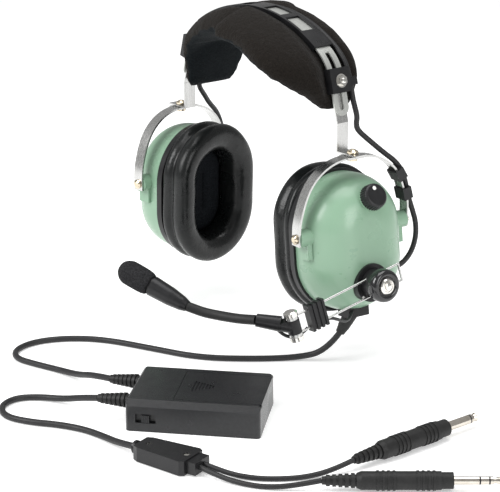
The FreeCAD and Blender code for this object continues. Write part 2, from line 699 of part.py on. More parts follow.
def headband_spring():
    """Slotted spring strip with round ends."""
    straight = HALF_RUN - BAND_WIDTH / 2
    strip = band_ribbon(straight, straight, -BAND_THICK / 2, BAND_THICK / 2, -BAND_WIDTH / 2, BAND_WIDTH / 2)
    ends = []
    for flip in (False, True):
        disc = rod(leg_point(BAND_WIDTH / 2, -BAND_THICK / 2), leg_point(BAND_WIDTH / 2, BAND_THICK / 2), BAND_WIDTH / 2)
        ends.append(mirrored(disc) if flip else disc)
    shape = joined([strip] + ends)
    for flip in (False, True):
        stop = HALF_RUN - FOOT_LAND - SLOT_WIDTH / 2
        slot_face = band_ribbon(stop, stop, -BAND_THICK, BAND_THICK, -SLOT_WIDTH / 2, SLOT_WIDTH / 2)
        keep = box(0, 200, -50, 50, 0, 300)
        slot_face = slot_face.common(keep)
        slot_face = slot_face.cut(box(-1, band_point(SLOT_START, 0).x, -50, 50, 0, 300))
        low = FOOT_LAND + SLOT_WIDTH / 2
        round_end = rod(leg_point(low, -BAND_THICK), leg_point(low, BAND_THICK), SLOT_WIDTH / 2)
        cutter = joined([slot_face, round_end])
        shape = shape.cut(mirrored(cutter) if flip else cutter)
    return shape


GUIDE_RUN = TOP_RUN * 0.97
GUIDE_THICK = 1.5
GUIDE_HALF = BAND_WIDTH / 2 + 1.6


def band_guide():
    """Black channel over the band's crown, with windows, that holds the pad to the band."""
    top = BAND_THICK / 2
    outer = band_ribbon(GUIDE_RUN, GUIDE_RUN, -PAD_LIFT, top + GUIDE_THICK, -GUIDE_HALF, GUIDE_HALF)
    inner = band_ribbon(GUIDE_RUN + 5, GUIDE_RUN + 5, -PAD_LIFT - 1, top, -GUIDE_HALF + 1.6, GUIDE_HALF - 1.6)
    shape = outer.cut(inner)
    for flip in (False, True):
        for start, end in ((8.0, 27.0), (33.0, 52.0)):
            lid = band_ribbon(end, end, top - 0.1, top + GUIDE_THICK + 2, -BAND_WIDTH / 2 + 0.6, BAND_WIDTH / 2 - 0.6)
            window = lid.common(box(band_point(start, 0).x, 200, -50, 50, 0, 300))
            shape = shape.cut(mirrored(window) if flip else window)
    return shape


# The pad's edges on each leg's side, as (front or back, height above the band's foot), from its foot up to past
# the crown. The pad sits askew. Heights are for a band that rises PAD_DRAWN, and stretch with it.
PAD_DRAWN = 66.0
PAD_LEFT_FRONT = ((-8, 0), (-22, 11), (-38, 20), (-52, 32), (-56, 42), (-53, 55), (-46, 78))
PAD_LEFT_BACK = ((14, 0), (22, 10), (28, 21), (33, 36), (37, 53), (42, 78))
PAD_RIGHT_FRONT = ((-4, -12), (-11, 0), (-17, 16), (-24, 38), (-34, 56), (-46, 78))
PAD_RIGHT_BACK = ((34, -12), (40, -4), (45, 13), (46, 38), (44, 58), (42, 78))


def pad_side(front, back, reach):
    """Outline of the pad's half, seen from the side, made solid out to one leg's side."""
    stretch = (BAND_CROWN - BAND_FOOT_Z) / PAD_DRAWN
    outline = [V(0, y, BAND_FOOT_Z + rise * stretch) for y, rise in front + tuple(reversed(back))]
    return polygon(outline).extrude(V(reach, 0, 0))


def head_pad():
    """Soft saddle over the crown and down both legs."""
    shape = band_ribbon(HALF_RUN - PAD_FOOT_LEFT, HALF_RUN - PAD_FOOT_RIGHT, -PAD_LIFT - PAD_THICK, -PAD_LIFT,
                        -PIVOT_X, PIVOT_X)
    left = shape.common(pad_side(PAD_LEFT_FRONT, PAD_LEFT_BACK, BAND_REACH))
    right = shape.common(pad_side(PAD_RIGHT_FRONT, PAD_RIGHT_BACK, -BAND_REACH))
    return joined([left, right])


# ---------------------------------------------------------------- crossover cable
CROSS_Y = 13.6
CROSS_LIFT = -PAD_LIFT + CROSS_CORD / 2 + 0.2
CROSS_BELOW = 5.0           # how far the cable runs on past the band's foot


def crossover_band():
    """Cable along the back of the band, from foot to foot."""
    run = HALF_RUN + CROSS_BELOW
    edges = half_edges(run, CROSS_LIFT, CROSS_Y)
    others = [mirrored(e) for e in half_edges(run, CROSS_LIFT, CROSS_Y)]
    wire = Part.Wire(Part.__sortEdges__(edges + others))
    start = wire.OrderedVertexes[0].Point
    first = wire.OrderedEdges[0]
    way = first.tangentAt(first.ParameterRange[0])
    return swept(wire, start, way, CROSS_CORD)


def crossover_yoke():
    """Cable from beside the arm out to the clips on the back of the yoke."""
    points = [(PIVOT_X - 9.5, 11.0, 80.0), (PIVOT_X - 6.5, 20.0, 71.5), (PIVOT_X - 2.5, 29.5, 62.5),
              (PIVOT_X, 40.3, 53.8), (PIVOT_X + 1, 46.6, 43.2), (PIVOT_X + 1.5, 50.2, 27.5)]
    return cord("crossover_yoke", points, CROSS_CORD).transformed(yoke_turn().toMatrix())


def crossover_cup():
    """Cable from below the clips down into the back of the dome, in the cup's own frame."""
    points = [(PIVOT_DEPTH + 4.5, 52.6, 17.5), (PIVOT_DEPTH + 5.6, 55.0, 6), (PIVOT_DEPTH + 4.8, 54.6, -6),
              (PIVOT_DEPTH + 3, 50.5, -17), (PIVOT_DEPTH + 1, 42.0, -25), (PIVOT_DEPTH - 1, 33.5, -26.5)]
    return cord("crossover_cup", points, CROSS_CORD)


def yoke_clips():
    """Two black clips that hold the crossover cable behind the yoke."""
    clips = []
    for y, z, turn in CLIP_SPOTS:
        block = box(-5.4, 6.0, -4.6, 4.6, -2.4, 5.2)
        place = FreeCAD.Placement(V(PIVOT_X, y, z), FreeCAD.Rotation(X_AXIS, -turn))
        clips.append(moved(block, place))
    return clips


# ---------------------------------------------------------------- cord set
BOOT_START = V(PIVOT_DEPTH, -2.0, -DOME_HEIGHT / 2 + 1.0)
BOOT_WAY = V(-0.34, -0.30, -0.89)
BOOT_LENGTH = 21.0


def cord_boot():
    start = LEFT_CUP.multVec(BOOT_START)
    saddle = moved(box(PIVOT_DEPTH - 7, PIVOT_DEPTH + 7, -11, 7, -DOME_HEIGHT / 2 - 3.5, -DOME_HEIGHT / 2 + 8)
                   .cut(dome_solid(0)), LEFT_CUP)
    body = turned(start, BOOT_WAY, [(BOOT_LENGTH - 5, 5.6, 4.4), (5, 4.2, 3.4)])
    body = body.cut(moved(dome_solid(0), LEFT_CUP))
    return joined([saddle, body])


def boot_end():
    way = V(BOOT_WAY)
    way.normalize()
    return LEFT_CUP.multVec(BOOT_START) + way * BOOT_LENGTH


LAID = FLOOR + MAIN_CORD / 2
LEAD_LAID = FLOOR + PLUG_LEAD / 2
MAIN_ROUTE = ((93, -17, -83.5), (77, -31, LAID), (58, -58, LAID), (30, -87, LAID), (-9, -103, LAID),
              (-46, -119, LAID), (-67, -140, LAID), (-76, -163, LAID), (-71, -183, LAID), (-56, -192, LAID),
              (-37, -187, LAID), (-16, -180, LAID), (5, -178, -87.5), (25, -179, -81))
BOX_ROUTE = ((52, -206, -82.5), (33, -210, -88.5), (17, -219, LAID), (7.5, -233, LAID), (13, -249, LAID),
             (30, -256.5, LAID), (49, -248.5, LAID), (65, -236, LAID), (83, -227, LAID), (101, -223.8, LAID),
             (118, -223.8, -88.4))
LEAD_1_ROUTE = ((199, -198, -89.0), (214, -187.5, LEAD_LAID), (225, -175.5, LEAD_LAID),
                (233, -162, LEAD_LAID), (239.6, -145, -88.4))
LEAD_2_ROUTE = ((200.5, -204.6, -89.0), (216, -198, LEAD_LAID), (229, -189.5, LEAD_LAID), (241, -177, -88.4))


def box_place():
    turn = FreeCAD.Rotation(Z_AXIS, BOX_TURN)
    return FreeCAD.Placement(V(BOX_CENTRE[0], BOX_CENTRE[1], FLOOR), turn)


CASE_SPLIT = 13.5           # height of the seam between the case halves
BEVEL = 4.0
COVER_THICK = 2.4
COVER_FLOOR = BOX_HEIGHT - COVER_THICK - CLEAR      # what the cover slides on
HOLLOW_TOP = COVER_FLOOR - 2.1
SCREW_INSET = 6.4           # case screws, in from the box's sides
SCREW_HEAD = 1.4
SCREW_GRIP = 4.0            # how far the case screws reach into the top half
POST_RADIUS = 4.7
CASE_SIDE = 3.0             # rounding of the case's upright edges
CASE_EDGE = 1.6             # chamfer round the case's top
FAR = 200.0                 # longer than any piece, for cutting
COVER_START = -14.0
COVER_END = 38.0
COVER_HALF = 25.0
COVER_LEDGE = 6.0           # rim round the battery opening that the cover lies on
SWITCH_X = -BOX_LENGTH / 2 + 14.0
SWITCH_Z = 9.5


def case_outline(z0, z1):
    shape = box(-BOX_LENGTH / 2, BOX_LENGTH / 2, -BOX_WIDTH / 2, BOX_WIDTH / 2, z0, z1)
    uprights = [e for e in shape.Edges if abs(e.BoundBox.ZLength - (z1 - z0)) < 1e-4]
    return shape.makeFillet(CASE_SIDE, uprights)


def case_whole():
    shape = case_outline(0, BOX_HEIGHT)
    top = [e for e in shape.Edges if e.BoundBox.ZMin > BOX_HEIGHT - 1e-4]
    shape = shape.makeChamfer(CASE_EDGE, top)
    face = -BOX_WIDTH / 2
    front = polygon([V(-FAR, face - BEVEL, BOX_HEIGHT + BEVEL), V(-FAR, face - BEVEL, BOX_HEIGHT - 2 * BEVEL),
                     V(-FAR, face + 2 * BEVEL, BOX_HEIGHT + BEVEL)]).extrude(V(2 * FAR, 0, 0))
    return shape.cut(front)


def case_hollow():
    wall = BOX_WALL
    return box(-BOX_LENGTH / 2 + wall, BOX_LENGTH / 2 - wall, -BOX_WIDTH / 2 + wall + BEVEL, BOX_WIDTH / 2 - wall,
               wall, HOLLOW_TOP)


def cover_opening(gap):
    """Space that the sliding battery cover lies in."""
    return box(COVER_START - gap, COVER_END + gap, -COVER_HALF - gap, COVER_HALF + gap,
               BOX_HEIGHT - COVER_THICK - gap, FAR)


def battery_case_top():
    shape = case_whole().common(box(-FAR, FAR, -FAR, FAR, CASE_SPLIT, FAR)).cut(case_hollow())
    shape = shape.cut(cover_opening(CLEAR))
    shape = shape.cut(box(COVER_END, FAR, -COVER_HALF - CLEAR, COVER_HALF + CLEAR, COVER_FLOOR, FAR))
    hatch = COVER_HALF - COVER_LEDGE
    shape = shape.cut(box(COVER_START + COVER_LEDGE, COVER_END - COVER_LEDGE, -hatch, hatch, CASE_SPLIT, FAR))
    return with_posts(shape, CASE_SPLIT, COVER_FLOOR).cut(switch_window())


def battery_case_bottom():
    shape = case_whole().common(box(-FAR, FAR, -FAR, FAR, 0, CASE_SPLIT)).cut(case_hollow())
    return with_posts(shape, BOX_WALL / 2, CASE_SPLIT).cut(switch_window())


def switch_window():
    face = -BOX_WIDTH / 2
    return box(SWITCH_X - 7.0, SWITCH_X + 7.0, face - 1, face + 2.6, SWITCH_Z - 3.2, SWITCH_Z + 3.2)


def battery_cover():
    shape = box(COVER_START, BOX_LENGTH / 2, -COVER_HALF, COVER_HALF, BOX_HEIGHT - COVER_THICK, BOX_HEIGHT)
    for step in range(7):
        x = COVER_START + 9.0 + step * 2.2
        reach = 9.0 - step * 1.1
        shape = shape.cut(box(x, x + 1.0, -reach, reach, BOX_HEIGHT - 0.6, BOX_HEIGHT + 1))
    return shape


def power_switch():
    face = -BOX_WIDTH / 2
    base = box(SWITCH_X - 2.6, SWITCH_X + 2.6, face - 0.6, face + 2.2, SWITCH_Z - 2.6, SWITCH_Z + 2.6)
    for step in range(3):
        x = SWITCH_X - 1.6 + step * 1.4
        base = base.cut(box(x, x + 0.5, face - 1, face - 0.1, SWITCH_Z - 3, SWITCH_Z + 3))
    return base


CELL_RADIUS = 7.15
CELL_LENGTH = 50.0


def batteries():
    cells = []
    for y in (-15.0, 0.0, 15.0):
        start = V(COVER_START - 1.0, y + 2.0, BOX_WALL + CELL_RADIUS + 0.4)
        cells.append(turned(start, X_AXIS, [(CELL_LENGTH - 1.5, CELL_RADIUS, CELL_RADIUS), (1.5, 2.7, 2.7)]))
    return group(cells)


def battery_board():
    end = -BOX_LENGTH / 2
    board = box(end + 12, end + 28, -22, 24, BOX_WALL + 2, BOX_WALL + 3.6)
    legs = [rod(V(end + 14, y, BOX_WALL), V(end + 14, y, BOX_WALL + 2), 1.5) for y in (-18, 21)]
    chips = [box(end + 16, end + 24, y, y + 7, BOX_WALL + 3.6, BOX_WALL + 6) for y in (-14, 4)]
    return joined([board] + legs + chips)


def case_posts():
    """Where the four case screws go, in from the box's corners."""
    along = BOX_LENGTH / 2 - SCREW_INSET
    wide = BOX_WIDTH / 2 - SCREW_INSET
    return [(x, y) for x in (-along, along) for y in (-wide, wide)]


def case_screws():
    """Four screws that hold the case halves together, their heads flush with the underside."""
    shank = CASE_SPLIT + SCREW_GRIP - SCREW_HEAD
    return [turned(V(x, y, 0), Z_AXIS, [(SCREW_HEAD, 2.4, 2.4), (shank, 1.2, 1.2)])
            for x, y in case_posts()]


def with_posts(shell, low, high):
    """The case half with a post round each case screw, bored for it."""
    posts = [rod(V(x, y, low), V(x, y, high), POST_RADIUS) for x, y in case_posts()]
    shape = joined([shell] + posts)
    for screw in case_screws():
        shape = shape.cut(screw)
    return shape


RELIEF_LENGTH = 24.0
RELIEF_SPOTS = ((19.5, 14.5, -15.0, 4.0), (-14.0, 14.5, -11.0, 4.0))   # across, height, turn, drop


def relief_ends(spot):
    across, height, turn, drop = spot
    place = box_place()
    start = place.multVec(V(-BOX_LENGTH / 2, across, height))
    angle = math.radians(BOX_TURN + turn)
    way = V(-math.cos(angle), -math.sin(angle), 0) - Z_AXIS * math.tan(math.radians(drop))
    way.normalize()
    return start, way


def box_reliefs():
    """Ribbed strain reliefs of the two cords at the box's end."""
    shapes = []
    for spot in RELIEF_SPOTS:
        start, way = relief_ends(spot)
        parts = [turned(start, way, [(RELIEF_LENGTH, 4.4, 2.9)])]
        for step in range(6):
            at = start + way * (3.0 + step * 3.4)
            parts.append(rod(at, at + way * 1.7, 5.2 - step * 0.33))
        shape = joined(parts)
        shapes.append(shape.cut(moved(case_whole(), box_place())))
    return shapes


SPLIT_START = V(132.5, -222.0, FLOOR + 5.6)
SPLIT_TURN = 17.0
SPLIT_LENGTH = 54.0
SPLIT_HEIGHT = 10.0
SPLIT_SCREWS = (12.0, 42.0)  # along the splitter


def split_place():
    return FreeCAD.Placement(SPLIT_START, FreeCAD.Rotation(Z_AXIS, SPLIT_TURN))


def splitter_half(low, high):
    side = [V(5, 7.6, low), V(9, 9.4, low), V(44, 12.2, low), V(47, 10.4, low)]
    outline = [V(p.x, -p.y, low) for p in side] + list(reversed(side))
    body = polygon(outline).extrude(V(0, 0, high - low))
    step = box(44, SPLIT_LENGTH, -8, 8, max(low, -4.2), min(high, 4.2))
    neck = rod(V(0, 0, 0), V(9, 0, 0), 3.6)
    collar = rod(V(1, 0, 0), V(3, 0, 0), 4.6)
    half_space = box(-FAR, FAR, -FAR, FAR, low, high)
    shape = joined([body, step] + [s.common(half_space) for s in (neck, collar)])
    if high > 0:
        for x in SPLIT_SCREWS:
            shape = shape.cut(rod(V(x, 0, high - 1.6), V(x, 0, high + 1), 2.2))
    return shape


def splitter_screws():
    top = SPLIT_HEIGHT / 2
    return [rod(V(x, 0, top - 1.6), V(x, 0, top - 0.5), 2.1) for x in SPLIT_SCREWS]


# Plugs: handle and pin along one axis, from the lead's end to the tip.
PLUG_Z = FLOOR + 6.9
PLUG_1 = (V(242.0, -128.5, PLUG_Z), 88.5, 3.175, 30.6)
PLUG_2 = (V(251.2, -164.4, PLUG_Z), 50.0, 2.615, 32.0)
PLUG_RELIEF = 21.5
PLUG_HANDLE = 60.5
PLUG_COLLAR = 7.5           # plain end of the handle, next to the pin
PLUG_RIBS = (12.5, 37.5)    # where the handle's two groups of ribs start
RING_WALL = 0.7             # radial thickness of the pins' insulating rings


def plug_way(plug):
    angle = math.radians(plug[1])
    return V(math.cos(angle), math.sin(angle), 0)


def plug_handle(plug, radius):
    start, way = plug[0], plug_way(plug)
    parts = [turned(start, way, [(PLUG_RELIEF, 2.6, 3.9)])]
    for step in range(5):
        at = start + way * (2.6 + step * 3.9)
        parts.append(rod(at, at + way * 2.3, 3.6 + step * 0.28))
    body = start + way * PLUG_RELIEF
    parts.append(turned(body, way, [(3, radius - 1.2, radius), (PLUG_HANDLE - PLUG_COLLAR - 3, radius, radius),
                                    (PLUG_COLLAR, radius - 0.6, radius - 0.6)]))
    for first in PLUG_RIBS:
        for step in range(4):
            at = body + way * (first + step * 3.4)
            parts.append(rod(at, at + way * 1.6, radius + 0.5))
    return joined(parts)


def plug_pin(plug, rings):
    start, way, radius, length = plug[0], plug_way(plug), plug[2], plug[3]
    at = start + way * (PLUG_RELIEF + PLUG_HANDLE)
    shape = turned(at, way, [(length - 7.0, radius, radius), (1.6, radius * 0.72, radius * 0.72),
                             (2.4, radius * 0.72, radius), (3.0, radius, radius * 0.35)])
    for run in rings:
        ring = rod(at + way * run, at + way * (run + 1.0), radius + 1).cut(
            rod(at + way * (run - 1), at + way * (run + 2), radius - RING_WALL))
        shape = shape.cut(ring)
    return shape


def plug_rings(plug, rings):
    """Black insulating rings between the pin's contacts."""
    start, way, radius = plug[0], plug_way(plug), plug[2]
    at = start + way * (PLUG_RELIEF + PLUG_HANDLE)
    return [rod(at + way * run, at + way * (run + 1.0), radius).cut(
        rod(at + way * (run - 1), at + way * (run + 2), radius - RING_WALL)) for run in rings]


# ---------------------------------------------------------------- the model
def cup_nodes(side, placement, finish, dome_extra, dome_holes, board_extra):
    nodes = {
        side + "_dome_shell": dome_shell(dome_extra, dome_holes),
        side + "_seal_plate": seal_plate(),
        side + "_ear_seal": ear_seal(),
        side + "_ear_liner": ear_liner(),
        side + "_speaker": speaker(),
        side + "_noise_board": group([noise_board()] + board_extra),
    }
    return {name: finish(moved(shape, placement)) for name, shape in nodes.items()}


def as_is(shape):
    return shape


def build():
    nodes = {}
    nodes.update(cup_nodes("left", LEFT_CUP, as_is, [volume_seat()], [volume_hole(), crossover_cup()],
                           [volume_control()]))
    nodes.update(cup_nodes("right", RIGHT_CUP, mirrored, [], [], []))
    left_cup_extras = {
        "volume_knob": volume_knob(), "boom_base": boom_base(),
        "boom_bracket": boom_bracket(), "boom_clamp_knob": group([clamp_knob(), clamp_nut()]),
        "boom_wires": boom_wires(), "boom_wire_clip": wire_clip(), "elbow_bolt": elbow_bolt(),
        "crossover_cup": crossover_cup(),
    }
    nodes.update({name: moved(shape, LEFT_CUP) for name, shape in left_cup_extras.items()})
    nodes["boom_arm"] = boom_arm()
    nodes["mic_housing"] = mic_housing()
    nodes["flex_boom"] = trimmed(cord("flex_boom", FLEX_ROUTE, FLEX_DIAMETER), nodes["boom_arm"], nodes["mic_housing"])
    nodes["mic_capsule"] = mic_capsule()
    nodes["mic_muff"] = mic_muff()
    for side, finish in (("left", as_is), ("right", mirrored)):
        nodes[side + "_yoke"] = finish(yoke())
        nodes[side + "_yoke_screws"] = finish(group(yoke_pivots() + [yoke_screw()]))
        nodes[side + "_arm"] = finish(arm())
        nodes[side + "_slider_block"] = finish(slider_block())
        nodes[side + "_slider_screw"] = finish(slider_screw())
    nodes["crossover_yoke"] = crossover_yoke()
    nodes["yoke_cable_clips"] = group([c.transformed(yoke_turn().toMatrix()).cut(nodes["crossover_yoke"])
                                       .cut(nodes["left_yoke"]) for c in yoke_clips()])
    nodes["crossover_band"] = crossover_band()
    nodes["headband_spring"] = headband_spring()
    nodes["band_guide"] = band_guide()
    nodes["head_pad"] = head_pad()
    nodes.update(cord_set())
    return nodes


def cord_set():
    place = box_place()
    nodes = {"strain_reliefs": group([cord_boot()] + box_reliefs())}
    ends = []
    for spot in RELIEF_SPOTS:
        start, way = relief_ends(spot)
        ends.append(start + way * RELIEF_LENGTH)
    main = [tuple(boot_end())] + list(MAIN_ROUTE) + [tuple(ends[0])]
    reliefs = nodes["strain_reliefs"]
    nodes["main_cord"] = trimmed(cord("main_cord", main, MAIN_CORD), reliefs)
    case = {
        "battery_case_top": battery_case_top(), "battery_case_bottom": battery_case_bottom(),
        "battery_cover": battery_cover(), "power_switch": power_switch(), "batteries": batteries(),
        "battery_board": battery_board(),
    }
    nodes.update({name: moved(shape, place) for name, shape in case.items()})
    split = split_place()
    half = SPLIT_HEIGHT / 2
    nodes["splitter_top"] = moved(splitter_half(0, half), split)
    nodes["splitter_bottom"] = moved(splitter_half(-half, 0), split)
    nodes["cord_set_screws"] = group([moved(s, split) for s in splitter_screws()]
                                     + [moved(s, place) for s in case_screws()])
    splitter = (nodes["splitter_top"], nodes["splitter_bottom"])
    tail = [tuple(ends[1])] + list(BOX_ROUTE) + [tuple(SPLIT_START)]
    nodes["splitter_cord"] = trimmed(cord("splitter_cord", tail, MAIN_CORD), reliefs, *splitter)
    nodes["plug_1_handle"] = plug_handle(PLUG_1, 6.4)
    nodes["plug_2_handle"] = plug_handle(PLUG_2, 5.9)
    for number, route, across in ((1, LEAD_1_ROUTE, 2.6), (2, LEAD_2_ROUTE, -2.6)):
        plug = PLUG_1 if number == 1 else PLUG_2
        start = split.multVec(V(SPLIT_LENGTH, across, 0))
        points = [tuple(start)] + list(route) + [tuple(plug[0])]
        name = "plug_%d_lead" % number
        nodes[name] = trimmed(cord(name, points, PLUG_LEAD), nodes["plug_%d_handle" % number], *splitter)
    nodes["plug_1_pin"] = plug_pin(PLUG_1, (21.0,))
    nodes["plug_2_pin"] = plug_pin(PLUG_2, (16.0, 22.0))
    nodes["plug_insulators"] = group(plug_rings(PLUG_1, (21.0,)) + plug_rings(PLUG_2, (16.0, 22.0)))
    return nodes


def main():
    os.makedirs("parts", exist_ok=True)
    nodes = build()
    for name, shape in nodes.items():
        bad = [s for s in shape.Solids if not s.isValid() or s.Volume <= 0]
        print(name, len(shape.Solids), round(shape.Volume), "BAD" if bad or not shape.Solids else "")
        shape.exportStep("parts/%s.step" % name)
    print(len(nodes), "nodes")


main()
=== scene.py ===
"""Looks of the aviation headset: materials, padded pieces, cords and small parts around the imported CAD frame.

Helpers work in millimetres, in the row frame or in a cup's own frame, and write meshes in metres.
"""
import math

import bmesh
import bpy
from mathutils import Matrix, Vector, noise


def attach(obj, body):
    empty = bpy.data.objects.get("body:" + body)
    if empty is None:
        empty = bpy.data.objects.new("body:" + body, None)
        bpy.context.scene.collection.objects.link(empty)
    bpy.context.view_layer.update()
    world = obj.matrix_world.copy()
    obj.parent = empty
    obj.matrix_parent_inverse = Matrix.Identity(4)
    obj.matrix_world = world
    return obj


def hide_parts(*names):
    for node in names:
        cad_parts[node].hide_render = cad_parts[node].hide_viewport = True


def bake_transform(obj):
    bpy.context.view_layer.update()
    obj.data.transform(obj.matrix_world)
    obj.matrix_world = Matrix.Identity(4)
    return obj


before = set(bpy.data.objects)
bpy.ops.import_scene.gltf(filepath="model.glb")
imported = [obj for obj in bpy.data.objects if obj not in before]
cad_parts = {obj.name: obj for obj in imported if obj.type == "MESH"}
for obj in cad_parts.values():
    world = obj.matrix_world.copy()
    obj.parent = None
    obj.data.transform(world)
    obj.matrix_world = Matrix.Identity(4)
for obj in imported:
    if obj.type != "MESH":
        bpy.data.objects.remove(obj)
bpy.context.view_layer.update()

MM = 0.001
HERE = Matrix.Identity(4)
MIRROR = Matrix.Diagonal((-1, 1, 1, 1))

# ---------------------------------------------------------------- sizes, as in the CAD model, in mm
PIVOT = Vector((100.0, 0.0, 10.0))
PIVOT_DEPTH = 44.0
TOE_IN = 7.0
TILT = {"left": 7.0, "right": 1.0}
OVAL_SIDE = 13.5            # half the straight side that the seal's and the opening's ovals share
OVAL_ROUND = 32.0           # radius that spaces the points round an oval's ends
DOME_FACE = 68.0
DOME_HEIGHT = 102.0
DOME_ROUND = 30.0
BAND_CROWN = 158.0
BAND_TOP_RADIUS = 120.0
SHOULDER_RADIUS = 36.0
BAND_FOOT = Vector((89.0, 0.0, 92.0))
LEAN = math.radians(15.0)
PAD_LIFT = 3.6
PAD_THICK = 12.5
PAD_FOOT_LEFT = 4.0
PAD_FOOT_RIGHT = -6.0
# The pad's edges on each leg's side, as (front or back, height above the band's foot).
PAD_LEFT_FRONT = ((-8, 0), (-22, 11), (-38, 20), (-52, 32), (-56, 42), (-53, 55), (-46, 78))
PAD_LEFT_BACK = ((14, 0), (22, 10), (28, 21), (33, 36), (37, 53), (42, 78))
PAD_RIGHT_FRONT = ((-4, -12), (-11, 0), (-17, 16), (-24, 38), (-34, 56), (-46, 78))
PAD_RIGHT_BACK = ((34, -12), (40, -4), (45, 13), (46, 38), (44, 58), (42, 78))
BOOM_Y = -2.0
BOOM_Z = -26.0
BASE_FACE = 70.0
BRACKET_FACE = 78.3
CLAMP_RADIUS = 12.0
GAP = 0.3
KNOB_Y = 3.0
KNOB_Z = 34.0
KNOB_RADIUS = 9.7
KNOB_HEIGHT = 8.0
KNOB_RIBS = 30
MIC_START = Vector((58.0, -119.0, -34.0))
MIC_TIP = Vector((9.0, -142.0, -12.0))
MUFF_START = 31.0
MUFF_RADIUS = 9.5
CROSS_Y = 13.6
CROSS_LIFT = -1.4
CROSS_CORD = 4.0
MAIN_CORD = 4.5
PLUG_LEAD = 3.5
MIC_LEAD = 2.4
FLOOR = -92.0
BOOT_Y = -2.0
BOOT_WAY = Vector((-0.34, -0.30, -0.89))
BOOT_LENGTH = 21.0
BOX_LENGTH = 92.0
BOX_CENTRE = Vector((112.0, -150.0, FLOOR))
BOX_TURN = 41.0
RELIEF_SPOTS = ((19.5, 14.5, -15.0, 4.0), (-14.0, 14.5, -11.0, 4.0))    # across, height, turn, drop
RELIEF_LENGTH = 24.0
SPLIT_START = Vector((132.5, -222.0, FLOOR + 5.6))
SPLIT_TURN = 17.0
SPLIT_LENGTH = 54.0
LEAD_APART = 5.2            # between the two plug leads, where they leave the splitter


def cup_place(side):
    place = (Matrix.Translation(PIVOT) @ Matrix.Rotation(math.radians(-TOE_IN), 4, "Z")
             @ Matrix.Rotation(math.radians(-TILT[side]), 4, "Y")
             @ Matrix.Translation((-PIVOT_DEPTH, 0.0, -PIVOT.z)))
    return MIRROR @ place if side == "right" else place


CUP = {"left": cup_place("left"), "right": cup_place("right")}

# The volume knob stands square on the rounded edge of the dome.
KNOB_ROOT = Vector((DOME_FACE - DOME_ROUND, KNOB_Y, DOME_HEIGHT / 2 - DOME_ROUND))
KNOB_SLOPE = math.asin((KNOB_Z - KNOB_ROOT.z) / DOME_ROUND)
KNOB_WAY = Vector((math.cos(KNOB_SLOPE), 0.0, math.sin(KNOB_SLOPE)))
KNOB_FOOT = KNOB_ROOT + KNOB_WAY * (DOME_ROUND + 1.0)

# ---------------------------------------------------------------- headband path
LEG_UP = Vector((-math.sin(LEAN), 0.0, math.cos(LEAN)))
LEG_OUT = Vector((math.cos(LEAN), 0.0, math.sin(LEAN)))
TOP_CENTRE = Vector((0.0, 0.0, BAND_CROWN - BAND_TOP_RADIUS))
TOP_ANGLE = math.asin(((BAND_FOOT - TOP_CENTRE).dot(LEG_OUT) - SHOULDER_RADIUS)
                      / (BAND_TOP_RADIUS - SHOULDER_RADIUS)) - LEAN
SHOULDER_CENTRE = TOP_CENTRE + Vector((math.sin(TOP_ANGLE), 0.0, math.cos(TOP_ANGLE))) * (
    BAND_TOP_RADIUS - SHOULDER_RADIUS)
TOP_RUN = BAND_TOP_RADIUS * TOP_ANGLE
SHOULDER_RUN = SHOULDER_RADIUS * (math.pi / 2 - LEAN - TOP_ANGLE)
LEG_START = SHOULDER_CENTRE + LEG_OUT * SHOULDER_RADIUS
HALF_RUN = TOP_RUN + SHOULDER_RUN + (LEG_START - BAND_FOOT).dot(LEG_UP)


def band_point(run, offset, y=0.0):
    """Point beside the band's middle line. Run is measured from the crown, to the wearer's left."""
    far = abs(run)
    if far <= TOP_RUN:
        angle = far / BAND_TOP_RADIUS
        point = TOP_CENTRE + Vector((math.sin(angle), 0.0, math.cos(angle))) * (BAND_TOP_RADIUS + offset)
    elif far <= TOP_RUN + SHOULDER_RUN:
        angle = TOP_ANGLE + (far - TOP_RUN) / SHOULDER_RADIUS
        point = SHOULDER_CENTRE + Vector((math.sin(angle), 0.0, math.cos(angle))) * (SHOULDER_RADIUS + offset)
    else:
        point = LEG_START + LEG_OUT * offset - LEG_UP * (far - TOP_RUN - SHOULDER_RUN)
    return Vector((math.copysign(point.x, run) if run else point.x, y, point.z))


